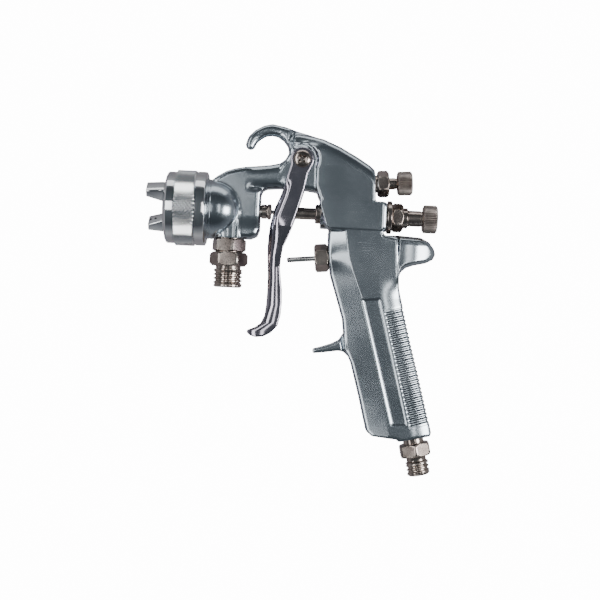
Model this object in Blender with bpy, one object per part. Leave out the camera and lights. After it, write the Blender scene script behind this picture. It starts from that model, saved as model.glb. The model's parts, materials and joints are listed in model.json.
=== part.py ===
"""A pressure-feed spray gun, modelled piece by piece as it comes apart on a bench.

Frame: X runs from the spray end (-X) to the control knobs (+X), Z is up, and Y = 0 is the gun's
middle plane. The origin is the inside of the hanging hook, where a peg carries the gun.
Sizes below are in millimetres and degrees; MM turns them into metres.
"""

import math

import bmesh
import bpy
from mathutils import Matrix, Vector

MM = 0.001

# ---------------------------------------------------------------- driving sizes
GAP = 0.3                     # room left between two pieces that touch

# The cast body.
SPRAY_Z = -44.0               # height of the needle and the spray
NECK_HALF = 8.4               # half widths of the casting, side to side
BLOCK_HALF = 10.8
BARREL_HALF = 11.6
HANDLE_HALF = 10.4
HOOK_HALF = 3.4
SPUR_HALF = 4.6
HORN_HALF = 5.6
HEAD_FRONT = -50.0            # front end of the head's male thread
HEAD_COLLAR = -36.0           # where the thread meets the collar
HEAD_THREAD_RADIUS = 17.0
HEAD_RADIUS = HEAD_THREAD_RADIUS + 0.5
DOME_BASE = -32.0             # where the head starts to round off into its dome
LEG_REAR = -4.6               # rear face of the leg behind the head
BODY_FLOOR = SPRAY_Z - HEAD_THREAD_RADIUS + 0.5    # underside of the leg and the fluid boss
BARREL_REAR = 68.5            # rear face of the barrel
BARREL_FLOOR = -52.5
FAN_FACE_X = 61.0             # rear face of the upper block
HANDLE_TOP = -53.0
HANDLE_LEAN = 15.5            # the handle's lean from upright
DRAWN_HANDLE_LENGTH = 118.0   # the length that the handle's outline below is drawn for
HANDLE_LENGTH = 118.0         # height of the handle, barrel to air inlet
PANEL_DEPTH = 0.7

# Air cap, ring and nozzle: distances run forward from the head's front face.
CAP_RADIUS = 16.0
CAP_FLANGE_RADIUS = 17.0
CAP_FLANGE = 1.8
CAP_FACE = 10.5
CAP_WALL = 2.6
CAP_TURN = 42.0               # how far the air horns are turned from upright
AIR_HORN_LENGTH = 10.0
AIR_HORN_HALF = 4.2
RING_RADIUS = HEAD_THREAD_RADIUS + 3.8
KNURL_RADIUS = HEAD_THREAD_RADIUS + 5.0
RING_REAR_RADIUS = HEAD_THREAD_RADIUS + 4.6
RING_LENGTH = 23.8
CLIP_WIDTH = 1.2
BAFFLE_RADIUS = 15.6
BAFFLE_THICKNESS = 2.0
NOZZLE_FLANGE_RADIUS = 7.0
NOZZLE_SHANK_RADIUS = 5.0
NOZZLE_TIP_RADIUS = 1.5
NOZZLE_BORE = 3.0
NOZZLE_SEAL = 0.7

# Needle, its packing and the fluid control.
NEEDLE_RADIUS = 1.2
NEEDLE_END = BARREL_REAR - 10.5
PACKING_RADIUS = 3.3
PACKING_NUT_FLATS = 8.0
SLEEVE_RADIUS = 3.5
SLEEVE_FRONT = 6.6
LOCK_NUT_X = 40.0
LOCK_NUT_LENGTH = 6.0
LOCK_NUT_RADIUS = 4.9
SPRING_BORE_RADIUS = 5.5
SPRING_BORE_X = 36.8
SPRING_WIRE = 0.5             # radius of the springs' wire
GUIDE_FRONT = 27.0
GUIDE_HEAD_RADIUS = 5.6
GUIDE_SHANK_RADIUS = 4.7
CONTROL_FLANGE_RADIUS = 9.6
CONTROL_FLATS = 14.6
CONTROL_SHANK_RADIUS = 6.6
FLUID_STEM_RADIUS = 4.65
FLUID_KNOB_X = BARREL_REAR + 21.0
FLUID_KNOB_RADIUS = 8.25
FLUID_KNOB_LENGTH = 8.5
SPIGOT_RADIUS = 2.5           # end of each control's stem, which sits in its knob
SPIGOT_ROOM = 3.0             # how far the spigot stops short of the knob's face
KNOB_FACE = 2.4               # thickness of a knob's face

# Fan control, on an axis that rises a little to the rear.
FAN_Z = -25.0
FAN_TILT = 4.0
FAN_FLATS = 13.6
FAN_HEX_LENGTH = 6.8
FAN_SHANK_RADIUS = 5.0
FAN_STEM_RADIUS = 3.4
FAN_KNOB_START = 12.9
FAN_KNOB_RADIUS = 7.0
FAN_KNOB_LENGTH = 8.8

# Air valve in the handle's front, on an axis that drops a little to the front.
VALVE_X = 36.1
VALVE_Z = -68.9
VALVE_TILT = 6.0
VALVE_FLATS = 14.4
VALVE_NUT_LENGTH = 8.3
VALVE_BORE_RADIUS = 7.0
PIN_RADIUS = 1.5
PIN_REACH = 24.4
POPPET_RADIUS = 4.5

# Trigger, hung on a stud through the neck.
PIVOT_X = 18.1
PIVOT_Z = -13.5
STUD_RADIUS = 3.2
STUD_HEAD_RADIUS = 5.0
STUD_HEAD = 2.0
SCREW_HOLE_RADIUS = 1.8
SCREW_DEPTH = 8.5
TRIGGER_SIDE = 2.7            # thickness of the trigger's side straps
TRIGGER_WEB = 2.6             # thickness of its front
TRIGGER_TOE_HALF = 6.6
TRIGGER_EYE_RADIUS = 7.0
NEEDLE_SLOT_HALF = 2.2        # the slot in its front that the needle passes through
NEEDLE_SLOT = (-48.2, -39.9)  # heights of that slot's ends
TAPER_FOLDS = (-52.0, -76.0)  # heights between which the trigger draws in

# Threaded nipples.
INLET_X = -22.0
FLUID_BOSS_RADIUS = 10.5
FLUID_SHANK_RADIUS = 7.6
FLUID_THREAD_RADIUS = 8.33
FLUID_BORE_RADIUS = 4.5
LOCKNUT_FLATS = 17.6
FLUID_HEX_FLATS = 19.4
AIR_INLET_X = 89.8
AIR_INLET_Z = -171.4
AIR_INLET_LEAN = 12.2
AIR_SHANK_RADIUS = 6.0
AIR_THREAD_RADIUS = 6.65
AIR_HEX_FLATS = 17.0
AIR_BORE_RADIUS = 3.6

# Passages in the casting.
PASSAGE_RADIUS = 1.7
HANDLE_PASSAGE_RADIUS = 4.0
BARREL_TAIL_RADIUS = 8.6
ANNULUS = (9.0, 13.4)         # inner and outer radius of the air groove in the head's face

ROUND = 24                    # sides of a turned piece, a multiple of six
SMALL_ROUND = 12
CUTTER_TWIST = 4.0            # keeps the corners of a drilled hole off the casting's own edges

# ---------------------------------------------------------------- finishes
CAST = ("cast_aluminium", (0.36, 0.40, 0.43), 0.32, 1.0)
CHROME = ("chrome", (0.80, 0.81, 0.82), 0.08, 1.0)
DARK_CHROME = ("trigger_chrome", (0.42, 0.42, 0.47), 0.12, 1.0)
NICKEL = ("warm_nickel", (0.50, 0.44, 0.40), 0.22, 1.0)
STEEL = ("stainless_steel", (0.62, 0.62, 0.61), 0.20, 1.0)
SEAL = ("white_seal", (0.85, 0.85, 0.82), 0.50, 0.0)


def finish(kind):
    """The material of this name, made the first time that it is asked for."""
    name, colour, roughness, metallic = kind
    material = bpy.data.materials.get(name)
    if material is None:
        material = bpy.data.materials.new(name)
        material.use_nodes = True
        shader = material.node_tree.nodes["Principled BSDF"]
        shader.inputs["Base Color"].default_value = (*colour, 1.0)
        shader.inputs["Roughness"].default_value = roughness
        shader.inputs["Metallic"].default_value = metallic
        material.diffuse_color = (*colour, 1.0)
    return material


# ---------------------------------------------------------------- directions and frames
REARWARD = Vector((1, 0, 0))
FORWARD = Vector((-1, 0, 0))
DOWN = Vector((0, 0, -1))
SIDEWAYS = Vector((0, 1, 0))


def leaning(angle, start):
    """The direction start turned by angle about +Y, from +X towards -Z."""
    return Matrix.Rotation(math.radians(angle), 3, "Y") @ start


FAN_AXIS = leaning(-FAN_TILT, REARWARD)
VALVE_AXIS = leaning(-VALVE_TILT, REARWARD)
AIR_AXIS = leaning(-AIR_INLET_LEAN, DOWN)


def down_handle(x, z):
    """A point of the handle, moved down the handle's lean when the handle is made longer."""
    share = min(max((HANDLE_TOP - z) / DRAWN_HANDLE_LENGTH, 0.0), 1.0)
    longer = (HANDLE_LENGTH - DRAWN_HANDLE_LENGTH) * share
    return x + longer * math.tan(math.radians(HANDLE_LEAN)), z - longer


def place(x, z, y=0.0):
    return Vector((x, y, z))


def facing(direction, twist=0.0):
    """The rotation that turns a piece's own +Z to direction, twisted about it by twist degrees."""
    turn = direction.to_track_quat("Z", "Y").to_matrix().to_4x4()
    return (turn @ Matrix.Rotation(math.radians(twist), 4, "Z")).to_euler()


# ---------------------------------------------------------------- making a piece
def add_object(name, mesh, kind, base=Vector(), rotation=None):
    """Puts a mesh in the scene as a piece with its finish. With no finish it is a hidden helper."""
    piece = bpy.data.objects.new(name, mesh)
    bpy.context.scene.collection.objects.link(piece)
    piece.location = base * MM
    if rotation is not None:
        piece.rotation_euler = rotation
    if kind is None:
        piece.hide_render = True
        piece.display_type = "WIRE"
    else:
        mesh.materials.append(finish(kind))
        mesh.shade_smooth()
        mesh.set_sharp_from_angle(angle=math.radians(32))
    return piece


def mesh_of(name, bm):
    """Closes a bmesh built in millimetres into a mesh in metres, with its faces pointing out."""
    bmesh.ops.recalc_face_normals(bm, faces=bm.faces)
    bmesh.ops.scale(bm, vec=(MM, MM, MM), verts=bm.verts)
    mesh = bpy.data.meshes.new(name)
    bm.to_mesh(mesh)
    bm.free()
    return mesh


def hex_reach(angle, flats):
    """How far a hexagon of this width across its flats reaches at an angle from a corner."""
    from_flat = (math.degrees(angle) % 60.0) - 30.0
    return flats / 2 / math.cos(math.radians(from_flat))


def turned(name, profile, kind, base=Vector(), toward=REARWARD, sides=ROUND, twist=0.0):
    """A piece turned about an axis from base towards a direction.

    The profile is one closed loop of (distance, radius) pairs, or (distance, flats, "hex") where
    the section is a hexagon. A radius of 0 is a point on the axis.
    """
    bm = bmesh.new()
    rings = []
    for distance, size, *shape in profile:
        if size == 0:
            rings.append([bm.verts.new((0, 0, distance))])
            continue
        ring = []
        for step in range(sides):
            angle = math.tau * step / sides
            radius = hex_reach(angle, size) if shape else size
            ring.append(bm.verts.new((radius * math.cos(angle), radius * math.sin(angle), distance)))
        rings.append(ring)
    for first, second in zip(rings, rings[1:] + rings[:1]):
        if len(first) == 1 and len(second) == 1:
            continue
        for step in range(sides):
            after = (step + 1) % sides
            corners = [first[step % len(first)], first[after % len(first)]]
            corners += [second[after % len(second)], second[step % len(second)]]
            bm.faces.new(list(dict.fromkeys(corners)))
    return add_object(name, mesh_of(name, bm), kind, base, facing(toward, twist))


def rod(name, start, end, radius, toward=REARWARD, base=Vector(), sides=SMALL_ROUND, kind=None):
    """A plain round bar, used for drilled holes."""
    loop = [(start, 0), (start, radius), (end, radius), (end, 0)]
    return turned(name, loop, kind, base, toward, sides, twist=CUTTER_TWIST)


def arc(centre, radius, first, last, steps):
    """Points on a circle in the XZ plane, from one angle to another in degrees above +X."""
    points = []
    for step in range(steps + 1):
        angle = math.radians(first + (last - first) * step / steps)
        points.append((centre[0] + radius * math.cos(angle), centre[1] + radius * math.sin(angle)))
    return points


def prism(rings):
    """A bmesh whose two ends are the given rings of points, with flat faces between them."""
    bm = bmesh.new()
    left, right = [[bm.verts.new(point) for point in ring] for ring in rings]
    bm.faces.new(left)
    bm.faces.new(right)
    for step in range(len(left)):
        after = (step + 1) % len(left)
        bm.faces.new((left[step], left[after], right[after], right[step]))
    return bm


def plate(name, outline, half_width, kind=None, rounding=0.0, centre_y=0.0, steps=2, taper=None):
    """An outline in the XZ plane drawn out to both sides, with its long edges rounded.

    taper gives the half width at a height, and is straight between the heights in TAPER_FOLDS.
    """
    rings = [[(x, side * half_width, z) for x, z in outline] for side in (-1, 1)]
    bm = prism(rings)
    if taper is not None:
        for height in TAPER_FOLDS:
            everything = bm.verts[:] + bm.edges[:] + bm.faces[:]
            bmesh.ops.bisect_plane(bm, geom=everything, plane_co=(0, 0, height), plane_no=(0, 0, 1))
        for vert in bm.verts:
            vert.co.y = math.copysign(taper(vert.co.z), vert.co.y)
    bmesh.ops.translate(bm, vec=(0, centre_y, 0), verts=bm.verts)
    piece = add_object(name, mesh_of(name, bm), kind)
    if rounding:
        bevel = piece.modifiers.new("rounding", "BEVEL")
        bevel.width = rounding * MM
        bevel.segments = steps
        bevel.limit_method = "ANGLE"
        bevel.angle_limit = math.radians(62)
    return piece


def block(name, low, high, kind=None):
    """A box between two corners."""
    bm = bmesh.new()
    bmesh.ops.create_cube(bm, size=1.0)
    middle = (Vector(low) + Vector(high)) / 2
    size = Vector(high) - Vector(low)
    bmesh.ops.scale(bm, vec=size, verts=bm.verts)
    bmesh.ops.translate(bm, vec=middle, verts=bm.verts)
    return add_object(name, mesh_of(name, bm), kind)


def combine(piece, others, operation, solver="EXACT"):
    """Adds a Boolean modifier to the piece for each helper."""
    for other in others:
        boolean = piece.modifiers.new(operation.lower() + "_" + other.name, "BOOLEAN")
        boolean.object = other
        boolean.operation = operation
        boolean.solver = solver
    return piece


# ---------------------------------------------------------------- the cast body
HOOK_TIP = (-12.2, -5.5)
HOOK_TIP_RADIUS = 3.0
INLET_PLACE = place(INLET_X, BODY_FLOOR)
FAN_PLACE = place(FAN_FACE_X, FAN_Z)
VALVE_PLACE = place(VALVE_X, VALVE_Z)
SPRAY_PLACE = place(0, SPRAY_Z)
PIVOT_PLACE = place(PIVOT_X, PIVOT_Z)
AIR_PLACE = place(*down_handle(AIR_INLET_X, AIR_INLET_Z))
EYE_ROOM = 2.2                # between the trigger's eye and the wall of its pocket
FLUID_PASSAGE_RADIUS = 3.3
CONTROL_SHANK = 10.5
GUIDE_SHANK = 5.6


def hook():
    tip = arc(HOOK_TIP, HOOK_TIP_RADIUS, 325, 160, 6)
    over = [(-13.6, -0.6), (-10, 3.2), (-5, 6), (0, 7.2), (7.5, 5.8), (15, 3.4), (24, 1.2)]
    root = [(24, -8), (12.5, -9), (9.9, -8), (9.3, -5.9), (7, -2.9), (3.5, -0.6), (0, 0)]
    under = [(-3.2, -0.5), (-6.8, -2.7), (-8.9, -5.0)]
    return plate("hook_shape", tip + over + root + under, HOOK_HALF, rounding=1.5)


def neck():
    top = [(-33, -27), (-30, -24.6), (-25, -21.6), (-20, -20), (-15, -19), (-7.5, -18), (0, -17.1)]
    throat = [(5.5, -15.8), (8.4, -13.6), (10.1, -10.2), (9.6, -6.2), (10.5, -2)]
    crown = [(13.5, 2.6), (18, 2.4), (25, 0.6), (33, -1.8), (36, -12), (36, -32)]
    window = [(27, -31.6), (20, -30.6), (6, -30.3), (-1.3, -31), (LEG_REAR + 0.9, -32.2)]
    leg = [(LEG_REAR, -34.6), (LEG_REAR, -55), (LEG_REAR - 1.4, -58.8), (LEG_REAR - 5, BODY_FLOOR)]
    front = [(-24, BODY_FLOOR), (-30, -55), (-33, -46)]
    shape = top + throat + crown + window + leg + front
    return plate("neck_shape", shape, NECK_HALF, rounding=2.6)


def upper_block():
    eye = TRIGGER_EYE_RADIUS + EYE_ROOM
    pocket = arc((PIVOT_X, PIVOT_Z), eye, 135, -62, 9)
    top = [(12.4, -3.4), (13.2, 0.2), (15.2, 1.5), (19.5, 1.3), (24.5, 0.3), (30, -0.9), (40, -5)]
    top += [(50, -10.3), (57.5, -14.9)]
    back = [(60.2, -17.4), (FAN_FACE_X - 0.2, -21), (FAN_FACE_X, -26), (FAN_FACE_X + 0.4, -35.4)]
    low = [(60, -40), (32, -40), (28.4, -34.4), (27.3, -31)]
    return plate("block_shape", pocket + low[::-1] + back[::-1] + top[::-1], BLOCK_HALF, rounding=3.4)


def barrel():
    front = [(33.6, BARREL_FLOOR), (32.4, -49.4), (29.4, -40), (28.6, -35.6)]
    rear = [(BARREL_REAR, -35.5), (BARREL_REAR, BARREL_FLOOR - 0.1)]
    return plate("barrel_shape", front + rear, BARREL_HALF, rounding=2.4)


def handle():
    front = [(36.2, -47), (34.9, -55), (35.1, -62), (35.9, -70), (37.2, -79), (41.2, -91)]
    front += [(45.4, -104), (46.6, -113), (47.6, -121), (51.6, -129.4), (54.2, -138.5)]
    front += [(57.2, -149), (60, -160), (62.2, -168.2), (65.5, -170.9), (72, -171.4)]
    back = [(79.6, -172), (80.4, -173.4), (99.2, -169.3), (99.8, -167.2), (95.2, -150), (90.2, -132)]
    back += [(85, -114), (80.2, -96), (77.4, -85.5), (76.7, -78), (76, -66), (75.4, -55.4)]
    back += [(67, -54.8), (66, -47)]
    points = [down_handle(x, z) for x, z in front + back]
    return plate("handle_shape", points, HANDLE_HALF, rounding=3.2)


def spur():
    shape = [(58, -106), (46.2, -112.6), (44, -116.3), (40, -118.5), (35, -120.3), (29.4, -122)]
    shape += [(28.6, -123.4), (29.6, -124.8), (36, -124), (44, -122.7), (47, -123.2), (50, -126)]
    shape += [(58, -129)]
    points = [down_handle(x, z) for x, z in shape]
    return plate("spur_shape", points, SPUR_HALF, rounding=1.2)


def thumb_rest():
    """The horn at the top of the handle that rests on the web of the hand."""
    shape = [(66, -54.6), (76, -54.3), (88.6, -55), (93.8, -57.4), (96.8, -61.2), (97.8, -64.3)]
    shape += [(96.4, -67.5), (92.5, -69.7), (86, -71.2), (80.9, -73), (78, -75.6), (76.4, -80), (66, -86)]
    return plate("thumb_rest_shape", shape, HORN_HALF, rounding=2.2)


def head():
    dome = [(-x, r) for x, r in arc((DOME_BASE, 0), HEAD_RADIUS, 0, 90, 7)]
    dome[0] = (-(DOME_BASE + HEAD_RADIUS), 0)
    front = [(-HEAD_COLLAR, HEAD_RADIUS), (-HEAD_COLLAR, HEAD_THREAD_RADIUS)]
    front += [(-HEAD_FRONT - 0.8, HEAD_THREAD_RADIUS), (-HEAD_FRONT, HEAD_THREAD_RADIUS - 0.8)]
    front += [(-HEAD_FRONT, 0)]
    return turned("head_shape", dome + front, None, SPRAY_PLACE, FORWARD)


def name_panel(side):
    """The shallow recess along the handle's side, left plain."""
    corners = [(56.4, -92.5), (66, -91.5), (85, -163), (76.5, -163.5)]
    points = [down_handle(x, z) for x, z in corners]
    middle = side * (HANDLE_HALF + 2.0)
    return plate(f"panel_cut_{side + 1}", points, 2.0 + PANEL_DEPTH, centre_y=middle)


def body_bores():
    """Everything drilled, bored or faced in the casting."""
    shank = NOZZLE_SHANK_RADIUS + GAP
    loop = [(HEAD_FRONT - 2, 0), (HEAD_FRONT - 2, shank), (HEAD_FRONT + 12, shank)]
    passage = PACKING_RADIUS + GAP
    loop += [(HEAD_FRONT + 12, passage), (LEG_REAR + 3, passage), (LEG_REAR + 3, 0)]
    cuts = [turned("nozzle_bore", loop, None, SPRAY_PLACE, REARWARD, SMALL_ROUND, CUTTER_TWIST)]
    inner, outer = ANNULUS
    groove = [(HEAD_FRONT - 2, inner), (HEAD_FRONT - 2, outer), (HEAD_FRONT + 6, outer)]
    groove += [(HEAD_FRONT + 6, inner)]
    cuts.append(turned("air_annulus", groove, None, SPRAY_PLACE, REARWARD, SMALL_ROUND, CUTTER_TWIST))
    seat = FLUID_SHANK_RADIUS + GAP
    face = FLUID_BOSS_RADIUS + 0.6
    loop = [(3, 0), (3, face), (0, face), (0, seat), (-11, seat), (-11, FLUID_PASSAGE_RADIUS)]
    rise = BODY_FLOOR - SPRAY_Z - 1.2
    loop += [(rise, FLUID_PASSAGE_RADIUS), (rise, 0)]
    cuts.append(turned("fluid_inlet_bore", loop, None, INLET_PLACE, DOWN, SMALL_ROUND, CUTTER_TWIST))
    guide = GUIDE_SHANK_RADIUS + GAP
    head_seat = GUIDE_FRONT + 3.4
    face = GUIDE_HEAD_RADIUS + 0.5
    loop = [(20, 0), (20, face), (head_seat, face), (head_seat, guide)]
    loop += [(SPRING_BORE_X, guide), (SPRING_BORE_X, SPRING_BORE_RADIUS)]
    shank_start = BARREL_REAR - CONTROL_SHANK - GAP
    loop += [(shank_start, SPRING_BORE_RADIUS), (shank_start, CONTROL_SHANK_RADIUS + GAP)]
    loop += [(BARREL_REAR + 3, CONTROL_SHANK_RADIUS + GAP), (BARREL_REAR + 3, 0)]
    cuts.append(turned("needle_bore", loop, None, SPRAY_PLACE, REARWARD, SMALL_ROUND, CUTTER_TWIST))
    shank = FAN_SHANK_RADIUS + GAP
    loop = [(8, 0), (8, shank), (-12, shank), (-12, 2.6), (-18, 2.6), (-18, 0)]
    cuts.append(turned("fan_bore", loop, None, FAN_PLACE, FAN_AXIS, SMALL_ROUND, CUTTER_TWIST))
    face = VALVE_FLATS / 2 + 2.4
    loop = [(-9, 0), (-9, face), (0, face), (0, VALVE_BORE_RADIUS), (27, VALVE_BORE_RADIUS), (27, 0)]
    cuts.append(turned("valve_bore", loop, None, VALVE_PLACE, VALVE_AXIS, SMALL_ROUND, CUTTER_TWIST))
    cuts.append(rod("stud_bore", -30, 30, STUD_RADIUS + GAP, SIDEWAYS, PIVOT_PLACE))
    seat = AIR_SHANK_RADIUS + GAP
    cuts.append(rod("air_inlet_bore", -13, 3, seat, AIR_AXIS, AIR_PLACE))
    return cuts + air_passages()


def air_passages():
    """Air rises beside the needle's spring to the fan control, then runs along the neck."""
    rise_x, rise_y = 45.5, 7.9
    top = FAN_Z - 1.0
    inlet_end = AIR_PLACE - AIR_AXIS * 11
    valve_end = VALVE_PLACE + VALVE_AXIS * 23
    climb = valve_end - inlet_end
    width = HANDLE_PASSAGE_RADIUS
    cuts = [rod("handle_passage", 0, climb.length, width, climb.normalized(), inlet_end)]
    width = PASSAGE_RADIUS
    cuts.append(rod("riser", VALVE_Z + 2, top + 1.4, width, -DOWN, place(rise_x, 0, rise_y)))
    cuts.append(rod("cross_passage", -1, rise_y, width, SIDEWAYS, place(rise_x, top)))
    cuts.append(rod("neck_passage", -18, FAN_FACE_X - 14, width + 0.3, REARWARD, place(0, top)))
    start = place(HEAD_FRONT + 2, -34.2)
    reach = place(-15, top + 0.3) - start
    cuts.append(rod("head_passage", 0, reach.length, width + 0.1, reach.normalized(), start))
    return cuts


def trigger_pockets():
    """The flats on both sides that the trigger's straps lie on, with room for them to swing."""
    cuts = []
    eye = TRIGGER_EYE_RADIUS + EYE_ROOM
    depth = 12.0
    for side in (-1, 1):
        middle = side * (NECK_HALF + depth)
        name = f"pocket_cut_{side + 1}"
        shape = arc((PIVOT_X, PIVOT_Z), eye, -20, 250, 16) + [(5, -40), (27, -40)]
        cuts.append(plate(name, shape, depth, centre_y=middle))
    return cuts


def make_body():
    body = neck()
    body.name = "gun_body"
    body.data.name = "gun_body"
    body.hide_render = False
    body.display_type = "TEXTURED"
    body.data.materials.append(finish(CAST))
    body.data.shade_smooth()
    body.data.set_sharp_from_angle(angle=math.radians(32))
    boss = rod("fluid_boss", -16.5, 0, FLUID_BOSS_RADIUS, DOWN, INLET_PLACE, ROUND)
    tail = rod("barrel_tail", 30, BARREL_REAR, BARREL_TAIL_RADIUS, REARWARD, SPRAY_PLACE, ROUND)
    shapes = [hook(), upper_block(), barrel(), tail, handle(), spur(), thumb_rest(), head(), boss]
    cuts = trigger_pockets() + [name_panel(-1), name_panel(1)] + body_bores()
    combine(body, shapes, "UNION", "MANIFOLD")
    combine(body, cuts, "DIFFERENCE", "MANIFOLD")
    return body


# ---------------------------------------------------------------- head: nozzle, baffle, cap and ring
HEAD_PLACE = place(HEAD_FRONT, SPRAY_Z)
CAP_BACK = BAFFLE_THICKNESS + 2 * GAP
FLANGE_FRONT = CAP_BACK + CAP_FLANGE
LIP_BACK = FLANGE_FRONT + GAP
CLIP_BACK = 1.0
THREAD_CLEAR = HEAD_THREAD_RADIUS + GAP
CAP_HOLE = NOZZLE_TIP_RADIUS + 0.4


def make_nozzle():
    flange_back = 2 * GAP + NOZZLE_SEAL
    seat = CAP_FACE - CAP_WALL - 0.4
    bore = NOZZLE_BORE
    loop = [(-11.4, NOZZLE_SHANK_RADIUS), (flange_back, NOZZLE_SHANK_RADIUS)]
    loop += [(flange_back, NOZZLE_FLANGE_RADIUS), (flange_back + 2.2, NOZZLE_FLANGE_RADIUS)]
    loop += [(flange_back + 2.4, NOZZLE_SHANK_RADIUS - 0.4), (seat, NOZZLE_TIP_RADIUS)]
    loop += [(CAP_FACE + 0.5, NOZZLE_TIP_RADIUS), (CAP_FACE + 0.5, 0.9), (CAP_FACE - 0.6, 0.9)]
    loop += [(5.2, 1.9), (1.0, bore), (-11.4, bore)]
    turned("fluid_nozzle", loop, STEEL, HEAD_PLACE, FORWARD)
    ring = [(GAP, NOZZLE_SHANK_RADIUS + GAP), (GAP, NOZZLE_FLANGE_RADIUS)]
    ring += [(GAP + NOZZLE_SEAL, NOZZLE_FLANGE_RADIUS), (GAP + NOZZLE_SEAL, NOZZLE_SHANK_RADIUS + GAP)]
    turned("nozzle_seal", ring, SEAL, HEAD_PLACE, FORWARD, SMALL_ROUND)


def make_baffle():
    inner = NOZZLE_FLANGE_RADIUS + 0.6
    loop = [(GAP, inner), (GAP, BAFFLE_RADIUS - 0.6), (0.9, BAFFLE_RADIUS)]
    loop += [(GAP + BAFFLE_THICKNESS, BAFFLE_RADIUS), (GAP + BAFFLE_THICKNESS, inner)]
    baffle = turned("air_baffle", loop, STEEL, HEAD_PLACE, FORWARD)
    holes = []
    for step in range(6):
        angle = math.radians(60 * step + 25)
        middle = HEAD_PLACE + Vector((0, math.cos(angle), math.sin(angle))) * 11.4
        holes.append(rod(f"baffle_hole_{step}", -2, 6, 1.3, FORWARD, middle, 8))
    combine(baffle, holes, "DIFFERENCE")


def air_horn(number, cap_place, turn):
    """One of the two horns that blow on the spray from its sides, sloping inwards to its tip."""
    face = CAP_FACE - 0.8
    tip = CAP_FACE + AIR_HORN_LENGTH
    outline = [(6.4, face), (15.4, face), (15.4, CAP_FACE + 0.6), (14.4, tip), (10.2, tip)]
    outline += [(7.6, CAP_FACE + 3)]
    bm = prism([[(r, side * AIR_HORN_HALF, d) for r, d in outline] for side in (-1, 1)])
    name = f"air_horn_{number}"
    horn = add_object(name, mesh_of(name, bm), None, cap_place, facing(FORWARD, turn))
    bevel = horn.modifiers.new("rounding", "BEVEL")
    bevel.width = 0.9 * MM
    bevel.segments = 2
    bevel.limit_method = "ANGLE"
    bevel.angle_limit = math.radians(40)
    return horn


def make_cap():
    roof = CAP_FACE - CAP_WALL
    inner = CAP_FLANGE_RADIUS - 3.2
    loop = [(CAP_BACK, inner), (CAP_BACK, CAP_FLANGE_RADIUS), (FLANGE_FRONT, CAP_FLANGE_RADIUS)]
    loop += [(FLANGE_FRONT, CAP_RADIUS), (CAP_FACE - 1.2, CAP_RADIUS), (CAP_FACE, CAP_RADIUS - 1.4)]
    loop += [(CAP_FACE, CAP_HOLE), (roof, CAP_HOLE), (roof, inner)]
    cap = turned("air_cap", loop, CHROME, HEAD_PLACE, FORWARD)
    upright = 90.0
    horns = []
    for number in range(2):
        horns.append(air_horn(number, HEAD_PLACE, upright - CAP_TURN + 180 * number))
    combine(cap, horns, "UNION")


def make_clip():
    """The sprung wire that holds the cap in the ring, split so that it can be closed to go in."""
    outer = THREAD_CLEAR + 1.1
    loop = [(CLIP_BACK, BAFFLE_RADIUS + 0.5), (CLIP_BACK, outer)]
    loop += [(CLIP_BACK + CLIP_WIDTH, outer), (CLIP_BACK + CLIP_WIDTH, BAFFLE_RADIUS + 0.5)]
    clip = turned("ring_clip", loop, STEEL, HEAD_PLACE, FORWARD)
    x = HEAD_FRONT - CLIP_BACK
    slot = block("clip_split", (x - 4, -1.5, SPRAY_Z - 25), (x + 2, 1.5, SPRAY_Z - 10))
    combine(clip, [slot], "DIFFERENCE")


def make_ring():
    front = RING_LENGTH + (HEAD_FRONT - HEAD_COLLAR) - 0.3
    rear = front - RING_LENGTH
    groove = THREAD_CLEAR + 1.4
    loop = [(rear, HEAD_RADIUS + 0.4), (rear, RING_REAR_RADIUS - 1), (rear + 1, RING_REAR_RADIUS)]
    loop += [(rear + 6.6, RING_REAR_RADIUS), (rear + 6.9, KNURL_RADIUS), (rear + 17.8, KNURL_RADIUS)]
    loop += [(rear + 18.3, RING_RADIUS), (front - 1.2, RING_RADIUS), (front, RING_RADIUS - 1.6)]
    loop += [(front, CAP_RADIUS + 0.4), (LIP_BACK, CAP_RADIUS + 0.4), (LIP_BACK, THREAD_CLEAR)]
    loop += [(CLIP_BACK + CLIP_WIDTH + 0.2, THREAD_CLEAR), (CLIP_BACK + CLIP_WIDTH + 0.2, groove)]
    loop += [(CLIP_BACK - 0.2, groove), (CLIP_BACK - 0.2, THREAD_CLEAR)]
    loop += [(rear + 2.6, THREAD_CLEAR), (rear + 2.6, HEAD_RADIUS + 0.4)]
    turned("retaining_ring", loop, CHROME, HEAD_PLACE, FORWARD)


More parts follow.
